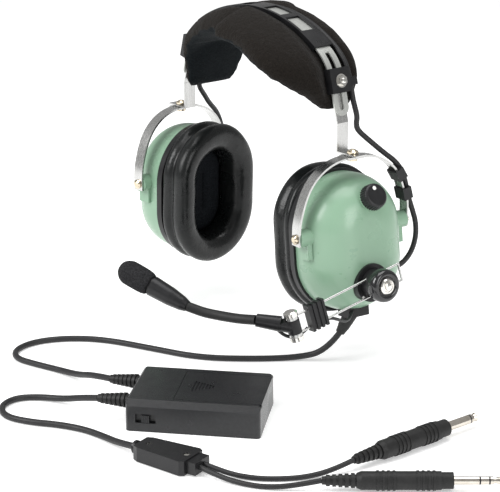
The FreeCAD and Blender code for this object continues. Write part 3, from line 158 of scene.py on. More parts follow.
# ---------------------------------------------------------------- materials
def surface(name, colour, rough, metallic=0.0, fleck=None, rough_change=(90.0, 0.05), bumps=(),
            stretch=(1.0, 1.0, 1.0), coat=0.0, sheen=0.0, specular=0.5):
    """Procedural material. Scales are per metre in the piece's own coordinates, depths in metres.

    fleck is (scale, other colour, share), rough_change is (scale, half range) and each bump is
    (kind, scale, depth), with noise or cells as its kind.
    """
    material = bpy.data.materials.new(name)
    material.use_nodes = True
    tree = material.node_tree
    shader = tree.nodes["Principled BSDF"]
    shader.inputs["Metallic"].default_value = metallic
    shader.inputs["Coat Weight"].default_value = coat
    shader.inputs["Coat Roughness"].default_value = 0.12
    shader.inputs["Sheen Weight"].default_value = sheen
    shader.inputs["Sheen Roughness"].default_value = 0.45
    shader.inputs["Specular IOR Level"].default_value = specular
    place = tree.nodes.new("ShaderNodeTexCoord")
    mapping = tree.nodes.new("ShaderNodeMapping")
    mapping.inputs["Scale"].default_value = stretch
    tree.links.new(place.outputs["Object"], mapping.inputs["Vector"])

    def pattern(kind, scale, detail=3.0):
        node = tree.nodes.new({"noise": "ShaderNodeTexNoise", "cells": "ShaderNodeTexVoronoi"}[kind])
        node.inputs["Scale"].default_value = scale
        if kind == "noise":
            node.inputs["Detail"].default_value = detail
        tree.links.new(mapping.outputs["Vector"], node.inputs["Vector"])
        return node.outputs["Distance"] if kind == "cells" else node.outputs[0]

    base = (*colour, 1.0)
    if fleck:
        scale, other, share = fleck
        mix = tree.nodes.new("ShaderNodeMix")
        mix.data_type = "RGBA"
        mix.inputs["A"].default_value = base
        mix.inputs["B"].default_value = (*other, 1.0)
        ramp = tree.nodes.new("ShaderNodeMapRange")
        ramp.inputs["From Min"].default_value = 0.5 - share / 2
        ramp.inputs["From Max"].default_value = 0.5 + share / 2
        tree.links.new(pattern("noise", scale), ramp.inputs["Value"])
        tree.links.new(ramp.outputs["Result"], mix.inputs["Factor"])
        tree.links.new(mix.outputs["Result"], shader.inputs["Base Color"])
    else:
        shader.inputs["Base Color"].default_value = base
    spread = tree.nodes.new("ShaderNodeMapRange")
    spread.inputs["From Min"].default_value = 0.3
    spread.inputs["From Max"].default_value = 0.7
    spread.inputs["To Min"].default_value = max(0.02, rough - rough_change[1])
    spread.inputs["To Max"].default_value = min(1.0, rough + rough_change[1])
    tree.links.new(pattern("noise", rough_change[0]), spread.inputs["Value"])
    tree.links.new(spread.outputs["Result"], shader.inputs["Roughness"])
    normal = None
    for kind, scale, depth in bumps:
        bump = tree.nodes.new("ShaderNodeBump")
        bump.inputs["Distance"].default_value = depth
        tree.links.new(pattern(kind, scale, 5.0), bump.inputs["Height"])
        if normal:
            tree.links.new(normal, bump.inputs["Normal"])
        normal = bump.outputs["Normal"]
    if normal:
        tree.links.new(normal, shader.inputs["Normal"])
    return material


SAGE = surface("dome_green", (0.215, 0.355, 0.245), 0.30, fleck=(26.0, (0.235, 0.38, 0.265), 0.7),
               rough_change=(60.0, 0.04), bumps=(("noise", 900.0, 0.00003), ("noise", 60.0, 0.0002)),
               coat=0.2)
BLACK = surface("black_plastic", (0.008, 0.008, 0.009), 0.34, fleck=(140.0, (0.014, 0.014, 0.015), 0.6),
                bumps=(("noise", 1400.0, 0.00006),), specular=0.35)
GLOSS = surface("gloss_black", (0.006, 0.006, 0.007), 0.14, fleck=(60.0, (0.009, 0.009, 0.01), 0.6),
                bumps=(("noise", 700.0, 0.00002),), coat=0.4)
SOFT = surface("soft_black", (0.011, 0.011, 0.011), 0.5, fleck=(300.0, (0.018, 0.018, 0.018), 0.6),
               bumps=(("noise", 1600.0, 0.0001),), specular=0.3)
VINYL = surface("seal_vinyl", (0.005, 0.006, 0.006), 0.28, fleck=(45.0, (0.010, 0.011, 0.011), 0.6),
                rough_change=(70.0, 0.08), bumps=(("cells", 1500.0, 0.00004), ("noise", 130.0, 0.0005)),
                coat=0.08, specular=0.28)
FOAM = surface("foam", (0.004, 0.005, 0.006), 0.95, fleck=(900.0, (0.012, 0.014, 0.017), 0.5),
               bumps=(("cells", 950.0, 0.0006),), specular=0.1)
MUFF = surface("muff_foam", (0.012, 0.012, 0.013), 0.95, fleck=(800.0, (0.034, 0.034, 0.036), 0.5),
               bumps=(("cells", 900.0, 0.0007),), specular=0.1)
BOARD = surface("circuit_board", (0.02, 0.12, 0.04), 0.4, fleck=(300.0, (0.03, 0.17, 0.06), 0.4),
                bumps=(("noise", 900.0, 0.0001),))
STEEL = surface("bright_steel", (0.62, 0.62, 0.61), 0.26, 1.0, fleck=(160.0, (0.50, 0.50, 0.49), 0.8),
                rough_change=(900.0, 0.07), bumps=(("noise", 1500.0, 0.00002),), stretch=(1.0, 1.0, 0.08))
BAND = surface("spring_steel", (0.60, 0.61, 0.58), 0.40, 0.7, fleck=(500.0, (0.48, 0.49, 0.47), 0.7),
               rough_change=(700.0, 0.06), bumps=(("noise", 2400.0, 0.00003),), stretch=(0.1, 1.0, 0.1))
CHROME = surface("chrome", (0.80, 0.79, 0.76), 0.10, 1.0, fleck=(200.0, (0.66, 0.64, 0.60), 0.8),
                 rough_change=(500.0, 0.04), bumps=(("noise", 1200.0, 0.00001),))
SCREW = surface("screw_brass", (0.72, 0.64, 0.50), 0.18, 1.0, fleck=(400.0, (0.56, 0.48, 0.36), 0.8),
                rough_change=(600.0, 0.06), bumps=(("noise", 1200.0, 0.00001),))
SHEATH = surface("vinyl_black", (0.007, 0.007, 0.008), 0.30, fleck=(90.0, (0.013, 0.013, 0.014), 0.6),
                 bumps=(("cells", 1300.0, 0.00006), ("noise", 120.0, 0.0003)), specular=0.35)
FLEECE = surface("fleece_brown", (0.0055, 0.0045, 0.0038), 0.97, fleck=(1100.0, (0.017, 0.014, 0.0115), 0.5),
                 bumps=(("noise", 1500.0, 0.0009), ("noise", 260.0, 0.0008)), sheen=0.06, specular=0.08)
LINING = surface("knit_lining", (0.0035, 0.005, 0.006), 0.94, fleck=(700.0, (0.010, 0.013, 0.015), 0.5),
                 bumps=(("cells", 900.0, 0.0003), ("noise", 1300.0, 0.0005)), sheen=0.03, specular=0.08)
CORD = surface("cord_black", (0.013, 0.013, 0.014), 0.46, fleck=(300.0, (0.020, 0.020, 0.021), 0.6),
               bumps=(("noise", 1100.0, 0.00012),), specular=0.35)
CASE = surface("case_black", (0.008, 0.0085, 0.0095), 0.32, fleck=(500.0, (0.014, 0.0145, 0.016), 0.5),
               bumps=(("cells", 2600.0, 0.00008),), coat=0.15, specular=0.4)
JACKET = surface("cell_jacket", (0.55, 0.38, 0.08), 0.35, fleck=(80.0, (0.62, 0.45, 0.12), 0.5))
BRASS = surface("pin_brass", (0.72, 0.68, 0.62), 0.18, 1.0, fleck=(260.0, (0.56, 0.51, 0.44), 0.8),
                rough_change=(700.0, 0.06), bumps=(("noise", 1500.0, 0.00001),))
WHITE = surface("white_mark", (0.75, 0.75, 0.73), 0.5, fleck=(600.0, (0.68, 0.68, 0.66), 0.5))

FINISH = {
    SAGE: ("left_dome_shell", "right_dome_shell"),
    MUFF: ("mic_muff",),
    BLACK: ("left_seal_plate", "right_seal_plate", "boom_base", "boom_bracket", "boom_wire_clip", "boom_arm",
            "mic_housing", "left_slider_block", "right_slider_block", "yoke_cable_clips", "left_speaker",
            "right_speaker", "plug_insulators", "splitter_top", "splitter_bottom"),
    SOFT: ("strain_reliefs", "flex_boom", "plug_1_handle", "plug_2_handle"),
    BOARD: ("left_noise_board", "right_noise_board", "battery_board"),
    STEEL: ("left_yoke", "right_yoke", "left_arm", "right_arm", "boom_wires", "mic_capsule"),
    BAND: ("headband_spring",),
    CHROME: ("elbow_bolt", "left_slider_screw", "right_slider_screw", "cord_set_screws"),
    SCREW: ("left_yoke_screws", "right_yoke_screws"),
    SHEATH: ("band_guide",),
    CASE: ("battery_case_top", "battery_case_bottom", "battery_cover", "power_switch"),
    JACKET: ("batteries",),
    BRASS: ("plug_1_pin", "plug_2_pin"),
}
for material, names in FINISH.items():
    for name in names:
        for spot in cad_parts[name].material_slots:
            spot.material = material


# ---------------------------------------------------------------- mesh helpers
def piece(name, points, faces, material, body, place=HERE):
    """Smooth mesh object from points in mm, placed in the row frame. It rides on a body, if one is given."""
    mesh = bpy.data.meshes.new(name)
    mesh.from_pydata([(place @ Vector(p)) * MM for p in points], [], faces)
    work = bmesh.new()
    work.from_mesh(mesh)
    bmesh.ops.recalc_face_normals(work, faces=work.faces)
    work.to_mesh(mesh)
    work.free()
    mesh.polygons.foreach_set("use_smooth", [True] * len(mesh.polygons))
    mesh.materials.append(material)
    obj = bpy.data.objects.new(name, mesh)
    bpy.context.scene.collection.objects.link(obj)
    if body:
        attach(obj, body)
    return obj


def skin(loops, closed=False, caps=True):
    """Points and faces of a surface through loops of equal length."""
    count = len(loops[0])
    points = [p for loop in loops for p in loop]
    faces = []
    last = len(loops) if closed else len(loops) - 1
    for i in range(last):
        j = (i + 1) % len(loops)
        for k in range(count):
            m = (k + 1) % count
            faces.append((i * count + k, i * count + m, j * count + m, j * count + k))
    if caps and not closed:
        faces.append(tuple(range(count)))
        faces.append(tuple((len(loops) - 1) * count + k for k in range(count)))
    return points, faces


def across(way):
    """Two directions square to a direction."""
    way = Vector(way).normalized()
    side = way.cross(Vector((0, 0, 1)) if abs(way.z) < 0.9 else Vector((1, 0, 0))).normalized()
    return side, way.cross(side)


def turned(name, start, way, profile, material, body, place=HERE, steps=40, knurl=None):
    """Lathe work: profile holds (run along the axis, radius). knurl is (ribs, depth, first run, last run)."""
    start, way = Vector(start), Vector(way).normalized()
    one, two = across(way)
    loops = []
    if knurl:
        steps = knurl[0] * 4
    for run, radius in profile:
        loop = []
        for k in range(steps):
            angle = 2 * math.pi * k / steps
            here = radius
            if knurl and knurl[2] <= run <= knurl[3]:
                here -= knurl[1] * (0.5 - 0.5 * math.cos(knurl[0] * angle))
            loop.append(start + way * run + (one * math.cos(angle) + two * math.sin(angle)) * here)
        loops.append(loop)
    points, faces = skin(loops)
    obj = piece(name, points, faces, material, body, place)
    sharpen(obj)
    return obj


def sharpen(obj, angle=40.0):
    """Marks edges sharper than an angle, so that smooth shading stops there."""
    work = bmesh.new()
    work.from_mesh(obj.data)
    for edge in work.edges:
        edge.smooth = len(edge.link_faces) != 2 or edge.calc_face_angle(0.0) < math.radians(angle)
    work.to_mesh(obj.data)
    work.free()


def spline_line(name, route):
    """Curve object: one open NURBS spline of order 3 with the route's points, given in mm."""
    curve = bpy.data.curves.new(name, "CURVE")
    curve.dimensions = "3D"
    curve.resolution_u = 10
    spline = curve.splines.new("NURBS")
    spline.points.add(len(route) - 1)
    for point, at in zip(spline.points, route):
        point.co = (*(Vector(at) * MM), 1.0)
    spline.order_u = 3
    spline.use_endpoint_u = True
    obj = bpy.data.objects.new(name, curve)
    bpy.context.scene.collection.objects.link(obj)
    return obj


def line_points(route):
    """Points in mm along a route's spline."""
    line = spline_line("line", route)
    mesh = bpy.data.meshes.new_from_object(line)
    points = [v.co / MM for v in mesh.vertices]
    bpy.data.meshes.remove(mesh)
    bpy.data.objects.remove(line)
    return points


def tube_loops(points, radius, steps=16):
    """Loops round a line, carried along without twist. radius is a number or one per point."""
    ways = [(b - a).normalized() for a, b in zip(points, points[1:])]
    ways.append(ways[-1])
    side = across(ways[0])[0]
    loops = []
    for i, (point, way) in enumerate(zip(points, ways)):
        if 0 < i < len(points) - 1:
            way = (ways[i - 1] + way).normalized()
        side = (side - way * side.dot(way)).normalized()
        up = way.cross(side)
        here = radius[i] if isinstance(radius, (list, tuple)) else radius
        angles = [2 * math.pi * k / steps for k in range(steps)]
        loops.append([point + (side * math.cos(a) + up * math.sin(a)) * here for a in angles])
    return loops


def applied(obj):
    """Puts an object's modifiers into its mesh."""
    bpy.context.view_layer.update()
    graph = bpy.context.evaluated_depsgraph_get()
    mesh = bpy.data.meshes.new_from_object(obj.evaluated_get(graph))
    obj.modifiers.clear()
    obj.data = mesh
    mesh.polygons.foreach_set("use_smooth", [True] * len(mesh.polygons))


def subdivided(obj, levels=1):
    obj.modifiers.new("smooth", "SUBSURF").levels = levels
    applied(obj)


# ---------------------------------------------------------------- padded pieces
CLOTH_FRAMES = 20


def puffed(obj, voxel, pressure, cap):
    """Cloth pressure on a remeshed copy of a pad. No point moves more than cap, in mm."""
    remesh = obj.modifiers.new("remesh", "REMESH")
    remesh.mode = "VOXEL"
    remesh.voxel_size = voxel * MM
    applied(obj)
    before = [v.co.copy() for v in obj.data.vertices]
    cloth = obj.modifiers.new("cloth", "CLOTH")
    cloth.settings.use_pressure = True
    cloth.settings.uniform_pressure_force = pressure
    cloth.settings.effector_weights.gravity = 0.0
    cloth.point_cache.frame_start = 1
    cloth.point_cache.frame_end = CLOTH_FRAMES
    scene = bpy.context.scene
    for step in range(1, CLOTH_FRAMES + 1):
        scene.frame_set(step)
    applied(obj)
    for vertex, start in zip(obj.data.vertices, before):
        shift = vertex.co - start
        if shift.length > cap * MM:
            vertex.co = start + shift * (cap * MM / shift.length)
    scene.frame_set(1)
    subdivided(obj)


def oval(offset, depth, turn):
    """Point on an upright oval in a cup's frame; turn goes round it from 0 to 1."""
    straight = 2 * OVAL_SIDE
    arc = math.pi * OVAL_ROUND
    at = turn * 2 * (straight + arc)
    if at < straight:
        return Vector((depth, offset, at - OVAL_SIDE))
    if at < straight + arc:
        angle = (at - straight) / OVAL_ROUND
        return Vector((depth, offset * math.cos(angle), OVAL_SIDE + offset * math.sin(angle)))
    if at < 2 * straight + arc:
        return Vector((depth, -offset, OVAL_SIDE - (at - straight - arc)))
    angle = (at - 2 * straight - arc) / OVAL_ROUND
    return Vector((depth, -offset * math.cos(angle), -OVAL_SIDE - offset * math.sin(angle)))


# Sections as (offset from the oval's straight middle, depth from the seal's face).
SEAL_SECTION = ((41.6, 24.7), (42.6, 21.5), (42.4, 18.4), (40.6, 15.8), (39.7, 14.4), (41.2, 12.6),
                (42.7, 9.4), (42.6, 5.2), (40.4, 1.9), (36.6, 0.5), (31.8, 0.6), (27.4, 1.9), (24.2, 4.6),
                (22.4, 8.2), (21.7, 13.0), (21.6, 19.0), (22.0, 24.7), (27.0, 24.85), (34.0, 24.85))
SEAL_SOFT = (0.3, 22.0)     # depths between which the vinyl ripples
LINER_SECTION = ((0.4, 20.6), (8.0, 20.5), (14.0, 20.7), (18.6, 21.2), (20.4, 22.4), (20.6, 24.6),
                 (10.0, 24.8), (0.4, 24.8))
RIPPLE_SCALE = 0.045        # per mm


def ear_seal(side):
    """Vinyl cushion: two soft lobes with a crease between them, and a bevelled opening."""
    steps = 96
    loops = []
    for i in range(steps):
        loop = []
        for offset, depth in SEAL_SECTION:
            at = oval(offset, depth, i / steps)
            ripple = noise.noise(at * RIPPLE_SCALE + Vector((7.0 if side == "left" else 2.0, 0, 0)))
            if SEAL_SOFT[0] < depth < SEAL_SOFT[1]:
                at = oval(offset + 0.9 * ripple - 0.3, depth + 0.5 * ripple + 0.2, i / steps)
            loop.append(at)
        loops.append(loop)
    points, faces = skin(loops, closed=True)
    obj = piece(side + "_seal_cushion", points, faces, VINYL, None, CUP[side])
    subdivided(obj)
    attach(obj, side + "_cup")
    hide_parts(side + "_ear_seal")


def ear_liner(side):
    """Thin dished foam sheet in the ear opening."""
    steps = 72
    loops = [[oval(offset, depth, i / steps) for offset, depth in LINER_SECTION] for i in range(steps)]
    points, faces = skin(loops, closed=True)
    obj = piece(side + "_foam_liner", points, faces, FOAM, side + "_cup", CUP[side])
    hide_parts(side + "_ear_liner")


PAD_MARGIN = 0.8            # inside its drawn edges, where the cloth swells
PAD_SLACK = 1.5             # of its thickness, for the same reason
PAD_CLOSE = 8.0             # length over which its ends close
PAD_ROLLS = ((-1, 6.8, 10.8, 17.0), (1, 6.5, 17.0, 23.0))    # beside the band: side, height, start, full
PAD_DROOP = 3.4             # of its edges, where it is 100 mm wide
PAD_RIPPLE = 1.2
PAD_HEART = Vector((0.0, 0.0, 70.0))     # what its lining faces


def along_table(table, rise):
    """Value of an edge table at a height above the band's foot."""
    if rise <= table[0][1]:
        return table[0][0]
    for (low, start), (high, stop) in zip(table, table[1:]):
        if rise <= stop:
            share = (rise - start) / (stop - start)
            return low + (high - low) * share * share * (3 - 2 * share) * 0.3 + (high - low) * share * 0.7
    return table[-1][0]


def pad_edges(run):
    """Front and back of the pad at a run along the band."""
    rise = band_point(run, -PAD_LIFT - PAD_THICK / 2).z - BAND_FOOT.z
    if run < 0:
        return along_table(PAD_RIGHT_FRONT, rise), along_table(PAD_RIGHT_BACK, rise)
    return along_table(PAD_LEFT_FRONT, rise), along_table(PAD_LEFT_BACK, rise)


def ramp(value, low, high):
    share = min(1.0, max(0.0, (value - low) / (high - low)))
    return share * share * (3 - 2 * share)


def pad_section(run, rows, low_end, high_end):
    """Loop round the pad, from its front edge over the outer face to the back, and back under the lining."""
    front, back = pad_edges(run)
    middle, half = (front + back) / 2, (back - front) / 2 - PAD_MARGIN
    close = max(0.0, 1.0 - min(run - low_end, high_end - run) / PAD_CLOSE)
    thick = (PAD_THICK - PAD_SLACK) * math.sqrt(max(0.03, 1.0 - close * close * 0.97))
    loop = []
    for k in range(rows):
        angle = 2 * math.pi * k / rows
        side = -math.copysign(abs(math.cos(angle)) ** 0.80, math.cos(angle))
        y = middle + side * half
        lift = math.copysign(abs(math.sin(angle)) ** 0.55, math.sin(angle)) * thick / 2
        top = max(0.0, math.sin(angle))
        rise = top * sum(high * ramp(way * y, low, full) for way, high, low, full in PAD_ROLLS) * (1 - close)
        droop = PAD_DROOP * abs(side) ** 4 * (half / 50.0)
        ripple = PAD_RIPPLE * noise.noise(Vector((run * RIPPLE_SCALE, y * 0.05, 3.0 if lift > 0 else 9.0)))
        offset = -PAD_LIFT - PAD_THICK / 2 + lift + rise - droop + ripple * abs(side)
        loop.append(band_point(run, offset, y))
    return loop


def lined(obj):
    """Gives the pad's faces that look inwards its lining."""
    obj.data.materials.clear()
    obj.data.materials.append(FLEECE)
    obj.data.materials.append(LINING)
    for face in obj.data.polygons:
        out = face.center - PAD_HEART * MM
        out.y = 0.0
        face.material_index = 0 if face.normal.dot(out.normalized()) > -0.25 else 1


def head_pad():
    """Fleece saddle with a knit lining, wide over the crown and narrow at the legs."""
    stops = 72
    rows = 40
    low_end = -(HALF_RUN - PAD_FOOT_RIGHT)
    high_end = HALF_RUN - PAD_FOOT_LEFT
    runs = []
    for i in range(stops + 1):
        share = 0.5 - 0.5 * math.cos(math.pi * i / stops)
        runs.append(low_end + (high_end - low_end) * (0.35 * share + 0.65 * i / stops))
    points, faces = skin([pad_section(run, rows, low_end, high_end) for run in runs])
    obj = piece("fleece_pad", points, faces, FLEECE, None)
    puffed(obj, voxel=4.0, pressure=2.5, cap=2.2)
    lined(obj)
    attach(obj, "headband")
    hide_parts("head_pad")
    turned("pad_snap", band_point(14.0, 1.6, -24.0), (0.12, -0.10, 1.0),
           ((-2.0, 5.0), (0.9, 5.0), (1.3, 4.5), (1.1, 3.7), (0.6, 3.3), (0.6, 0.4)), BLACK, "headband")


for side in ("left", "right"):
    ear_seal(side)
    ear_liner(side)
head_pad()

# ---------------------------------------------------------------- knobs
CLAMP_SEAT = 7.4            # floor of the clamp knob's hollow face, above its foot


def clamp_knob():
    """Glossy ring knob with a hollow face, and the chrome nut in it."""
    start = (BRACKET_FACE + GAP, BOOM_Y, BOOM_Z)
    rim = CLAMP_RADIUS
    profile = ((0.0, rim - 1.2), (0.8, rim - 0.2), (2.6, rim), (5.6, rim), (7.4, rim - 0.5), (8.6, rim - 1.7),
               (9.0, rim - 3.2), (8.5, rim - 4.6), (7.6, rim - 5.4), (CLAMP_SEAT, 3.4))
    knob = turned("clamp_knob", start, (1, 0, 0), profile, GLOSS, "boom_clamp",
                  CUP["left"], 64)
    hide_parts("boom_clamp_knob")
    turned("clamp_nut", (start[0] + CLAMP_SEAT - 0.2, BOOM_Y, BOOM_Z), (1, 0, 0),
           ((0.0, 5.8), (1.6, 5.8), (2.4, 5.1), (2.5, 4.0), (2.1, 3.6), (2.2, 2.8), (3.3, 2.6), (3.6, 1.9),
            (3.6, 0.2)), CHROME, "boom_clamp", CUP["left"], 36)


def volume_knob():
    """Ribbed knob with a white pointer dot."""
    start = KNOB_FOOT + KNOB_WAY * GAP
    rim = KNOB_RADIUS
    profile = ((0.0, rim - 0.9), (0.5, rim), (KNOB_HEIGHT - 1.8, rim - 0.4), (KNOB_HEIGHT - 1.0, rim - 0.9),
               (KNOB_HEIGHT - 0.4, rim - 1.7), (KNOB_HEIGHT - 0.1, rim - 2.8), (KNOB_HEIGHT - 0.3, rim - 4.0),
               (KNOB_HEIGHT - 0.4, 0.3))
    knob = turned("volume_dial", start, KNOB_WAY, profile, BLACK, "volume_knob", CUP["left"],
                  knurl=(KNOB_RIBS, 0.5, 0.4, KNOB_HEIGHT - 1.7))
    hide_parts("volume_knob")
    up = Vector((-KNOB_WAY.z, 0.0, KNOB_WAY.x))
    turned("volume_dot", start + KNOB_WAY * (KNOB_HEIGHT - 0.6) + up * 5.2, KNOB_WAY,
           ((0.0, 1.5), (0.5, 1.5), (0.75, 1.1), (0.8, 0.2)), WHITE, "volume_knob",
           CUP["left"], 20)


def base_dot():
    """White setting dot on the boom base's rim."""
    turned("base_dot", (BASE_FACE - 0.2, BOOM_Y - 9.0, BOOM_Z - 9.2), (1, 0, 0),
           ((0.0, 1.0), (0.3, 1.0), (0.45, 0.7), (0.5, 0.1)), WHITE, "left_cup",
           CUP["left"], 16)


def muff():
    """Foam windscreen, round at its tip, drawn in where it closes on the housing."""
    way = MIC_TIP - MIC_START
    long = way.length - MUFF_START
    profile = [(0.0, 6.3), (0.2, 7.6), (1.4, 8.6), (5.0, MUFF_RADIUS - 0.15)]
    for i in range(15):
        angle = math.pi / 2 * i / 14
        profile.append((long - MUFF_RADIUS * 1.05 * (1 - math.sin(angle)),
                        max(0.3, MUFF_RADIUS * math.cos(angle))))
    obj = turned("foam_muff", MIC_START + way.normalized() * MUFF_START, way, profile, MUFF, None,
                 steps=48)
    for vertex in obj.data.vertices:
        lump = noise.noise(vertex.co * 130.0) * 0.35 + noise.noise(vertex.co * 420.0) * 0.18
        vertex.co -= vertex.normal * (0.35 + lump) * MM
    subdivided(obj)
    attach(obj, "boom")
    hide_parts("mic_muff")


clamp_knob()
volume_knob()
base_dot()
muff()

# ---------------------------------------------------------------- crossover cable, one line from cup to cup
CROSS_FOOT = ((91.0, 12.6, 90.0), (90.9, 11.6, 85.0))
CROSS_STRAP = ((90.5, 11.0, 80.0), (93.5, 20.0, 71.5), (97.5, 29.5, 62.5), (100.0, 40.3, 53.8),
               (101.0, 46.6, 43.2), (101.5, 50.2, 27.5))
CROSS_DROP = ((48.5, 52.6, 17.5), (49.6, 55.0, 6), (48.8, 54.6, -6), (47, 50.5, -17), (45, 42, -25),
              (43, 33.5, -26.5))
CROSS_STOPS = 26            # along the band
CROSS_SHORT = 8.0           # of the band's ends


def yoke_point(x, y, z):
    """Point in the world from one drawn before the stirrup's toe-in turn."""
    turn = Matrix.Rotation(math.radians(-TOE_IN), 4, "Z")
    return turn @ (Vector((x, y, z)) - Vector((PIVOT.x, 0, 0))) + Vector((PIVOT.x, 0, 0))


def cross_side(side):
    """Points of the cable from the band's foot down to the back of one cup."""
    flip = MIRROR if side == "right" else HERE
    foot = [Vector(p) for p in CROSS_FOOT]
    strap = [yoke_point(*p) for p in CROSS_STRAP]
    drop = [CUP[side] @ Vector(p) for p in CROSS_DROP]
    return [flip @ p for p in foot + strap] + drop


def nearest(line, point):
    return min(range(len(line)), key=lambda i: (line[i] - point).length)


def crossover():
    """The cable, cut where it passes from one body to the next."""
    left, right = cross_side("left"), cross_side("right")
    reach = HALF_RUN - CROSS_SHORT
    band = [band_point(-reach + 2 * reach * i / CROSS_STOPS, CROSS_LIFT, CROSS_Y)
            for i in range(CROSS_STOPS + 1)]
    line = line_points(list(reversed(right)) + band + left)
    loops = tube_loops(line, CROSS_CORD / 2, 14)

    def stretch(name, start, stop, node, body=None, joins=None):
        first, last = sorted((nearest(line, start), nearest(line, stop)))
        points, faces = skin(loops[first:last + 1])
        obj = piece(name, points, faces, CORD, body)
        if node:
            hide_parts(node)
        if joins:
            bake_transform(obj)
        return obj

    stretch("cross_band", right[0], left[0], "crossover_band", "headband")
    for side, at in (("left", left), ("right", right)):
        stretch(side + "_cross_foot", at[0], at[2], None, joins=("headband", side + "_arm"))
        stretch(side + "_cross_arm", at[2], at[4], None, joins=(side + "_arm", side + "_yoke"))
        stretch(side + "_cross_strap", at[4], at[7], "crossover_yoke" if side == "left" else None,
                side + "_yoke")
        stretch(side + "_cross_pivot", at[7], at[9], None, joins=(side + "_yoke", side + "_cup"))
        stretch(side + "_cross_drop", at[9], at[13], "crossover_cup" if side == "left" else None,
                side + "_cup")


crossover()

# ---------------------------------------------------------------- microphone lead
MIC_LEADS = (
    ("mic_lead_rear", ((112.5, -9.0, -48.0), (117.0, -16.0, -51.5), (121.5, -25.0, -50.0),
                       (124.5, -33.0, -46.0)), ("left_cup", "boom_mount")),
    ("mic_lead_middle", ((124.5, -33.0, -46.0), (126.3, -38.0, -43.5), (127.4, -44.0, -41.0),
                         (127.8, -52.0, -40.0)), ("boom_mount", "boom_slide")),
    ("mic_lead_front", ((127.4, -66.0, -43.0), (126.6, -72.0, -47.5), (123.0, -79.5, -48.5),
                        (118.5, -84.5, -44.5), (116.0, -87.0, -40.0)), ("boom_slide", "boom")),
)


def lead_stretch(name, route, joins):
    """Part of the lead that hangs from one body to the next."""
    points, faces = skin(tube_loops(line_points(route), MIC_LEAD / 2, 12))
    obj = piece(name, points, faces, CORD, None)
    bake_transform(obj)


for lead in MIC_LEADS:
    lead_stretch(*lead)

# ---------------------------------------------------------------- free cords
LAID = FLOOR + MAIN_CORD / 2
LEAD_LAID = FLOOR + PLUG_LEAD / 2


def boot_end():
    """Where the main cord leaves the strain relief under the near dome."""
    start = CUP["left"] @ Vector((PIVOT_DEPTH, BOOT_Y, -DOME_HEIGHT / 2 + 1.0))
    return start + BOOT_WAY.normalized() * BOOT_LENGTH


def relief_end(across_box, height, turn, drop):
    """Where a cord leaves its strain relief at the battery box's end."""
    place = Matrix.Translation(BOX_CENTRE) @ Matrix.Rotation(math.radians(BOX_TURN), 4, "Z")
    angle = math.radians(BOX_TURN + turn)
    way = Vector((-math.cos(angle), -math.sin(angle), -math.tan(math.radians(drop)))).normalized()
    return place @ Vector((-BOX_LENGTH / 2, across_box, height)) + way * RELIEF_LENGTH


def split_end(y):
    """Where a plug lead leaves the splitter."""
    return SPLIT_START + Matrix.Rotation(math.radians(SPLIT_TURN), 3, "Z") @ Vector((SPLIT_LENGTH, y, 0.0))


MAIN_ROUTE = ((93, -17, -83.5), (77, -31, LAID), (58, -58, LAID), (30, -87, LAID), (-9, -103, LAID),
              (-46, -119, LAID), (-67, -140, LAID), (-76, -163, LAID), (-71, -183, LAID), (-56, -192, LAID),
              (-37, -187, LAID), (-16, -180, LAID), (5, -178, -87.5), (25, -179, -81))
BOX_ROUTE = ((52, -206, -82.5), (33, -210, -88.5), (17, -219, LAID), (7.5, -233, LAID), (13, -249, LAID),
             (30, -256.5, LAID), (49, -248.5, LAID), (65, -236, LAID), (83, -227, LAID), (101, -223.8, LAID),
             (118, -223.8, -88.4))
LEAD_1_ROUTE = ((199, -198, -89.0), (214, -187.5, LEAD_LAID), (225, -175.5, LEAD_LAID),
                (233, -162, LEAD_LAID), (239.6, -145, -88.4), (242.0, -128.5, -85.1))
LEAD_2_ROUTE = ((200.5, -204.6, -89.0), (216, -198, LEAD_LAID), (229, -189.5, LEAD_LAID),
                (241, -177, -88.4), (251.2, -164.4, -85.1))
CORDS = (
    ("main_cable", "main_cord", (boot_end(), *MAIN_ROUTE, relief_end(*RELIEF_SPOTS[0])), MAIN_CORD,
     "fitting",
     ["battery_case_top", "battery_case_bottom", "battery_cover", "power_switch", "strain_reliefs"]),
    ("splitter_cable", "splitter_cord", (relief_end(*RELIEF_SPOTS[1]), *BOX_ROUTE, SPLIT_START), MAIN_CORD,
     "fitting", ["splitter_top", "splitter_bottom", "cord_set_screws"]),
    ("plug_1_cable", "plug_1_lead", (split_end(LEAD_APART / 2), *LEAD_1_ROUTE), PLUG_LEAD, "plug",
     ["plug_1_handle", "plug_1_pin"]),
    ("plug_2_cable", "plug_2_lead", (split_end(-LEAD_APART / 2), *LEAD_2_ROUTE), PLUG_LEAD, "plug",
     ["plug_2_handle", "plug_2_pin", "plug_insulators"]),
)


def line_length(route):
    points = line_points(route)
    return sum((b - a).length for a, b in zip(points, points[1:])) * MM


def free_cord(name, node, route, diameter, far_end, with_pieces):
    obj = spline_line(name, route)
    obj.data.bevel_depth = diameter / 2 * MM
    obj.data.bevel_resolution = 6
    obj.data.use_fill_caps = True
    obj.data.materials.append(CORD)
    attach(obj, "left_cup")
    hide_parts(node)
    line_length(route)


for cord in CORDS:
    free_cord(*cord)

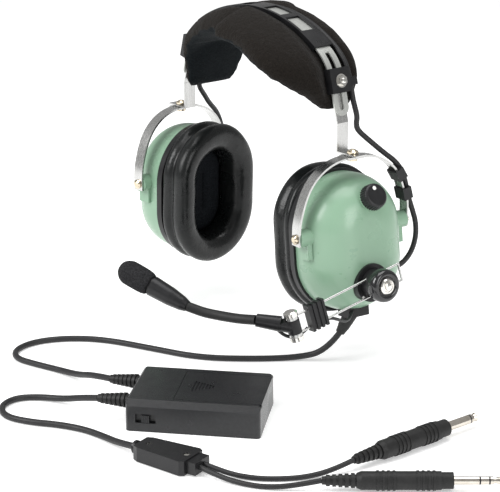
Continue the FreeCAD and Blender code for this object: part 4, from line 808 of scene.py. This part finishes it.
# ---------------------------------------------------------------- camera, floor and lights
AZIMUTH = math.radians(50.0)
ELEVATION = math.radians(18.0)
DISTANCE = 1.35
AIM = Vector((0.0004, -0.0124, -0.0256))
SENSOR = 36.0
PIXELS = 500
METRES_PER_PIXEL = 0.00077
FLOOR_HALF = 6.0
FLOOR_GLOW = 0.35
SKY = 0.42
LIGHTS = (
    ("key", (-0.3, -1.5, 1.1), (1.0, 1.0), 26.0),
    ("fill", (1.9, -0.1, 0.7), (0.8, 1.2), 12.0),
    ("top", (0.1, 0.1, 1.8), (1.4, 1.4), 20.0),
)


def camera():
    away = Vector((math.sin(AZIMUTH) * math.cos(ELEVATION), -math.cos(AZIMUTH) * math.cos(ELEVATION),
                   math.sin(ELEVATION)))
    data = bpy.data.cameras.new("camera")
    data.sensor_width = SENSOR
    data.lens = SENSOR * DISTANCE / (PIXELS * METRES_PER_PIXEL)
    obj = bpy.data.objects.new("camera", data)
    obj.location = AIM + away * DISTANCE
    obj.rotation_euler = away.to_track_quat("Z", "Y").to_euler()
    bpy.context.scene.collection.objects.link(obj)
    bpy.context.scene.camera = obj


def softbox(name, at, size, power):
    """White area light that faces the headset."""
    data = bpy.data.lights.new(name, "AREA")
    data.shape = "RECTANGLE"
    data.size, data.size_y = size
    data.energy = power
    obj = bpy.data.objects.new(name, data)
    obj.location = at
    obj.rotation_euler = (Vector(at) - AIM).to_track_quat("Z", "Y").to_euler()
    bpy.context.scene.collection.objects.link(obj)


def studio():
    """White floor just under the object, the lights and a white sky."""
    floor = (FLOOR - 0.05) * MM
    corners = ((-1, -1), (1, -1), (1, 1), (-1, 1))
    mesh = bpy.data.meshes.new("floor")
    mesh.from_pydata([(x * FLOOR_HALF, y * FLOOR_HALF, floor) for x, y in corners], [], [(0, 1, 2, 3)])
    white = surface("floor_white", (0.88, 0.88, 0.88), 0.7, fleck=(3.0, (0.90, 0.90, 0.90), 0.8))
    shader = white.node_tree.nodes["Principled BSDF"]
    shader.inputs["Emission Color"].default_value = (1.0, 1.0, 1.0, 1.0)
    shader.inputs["Emission Strength"].default_value = FLOOR_GLOW
    mesh.materials.append(white)
    obj = bpy.data.objects.new("floor", mesh)
    bpy.context.scene.collection.objects.link(obj)
    for light in LIGHTS:
        softbox(*light)
    world = bpy.data.worlds.new("studio")
    world.use_nodes = True
    background = world.node_tree.nodes["Background"]
    background.inputs["Color"].default_value = (1.0, 1.0, 1.0, 1.0)
    background.inputs["Strength"].default_value = SKY
    bpy.context.scene.world = world
    bpy.context.scene.view_settings.view_transform = "Standard"


camera()
studio()
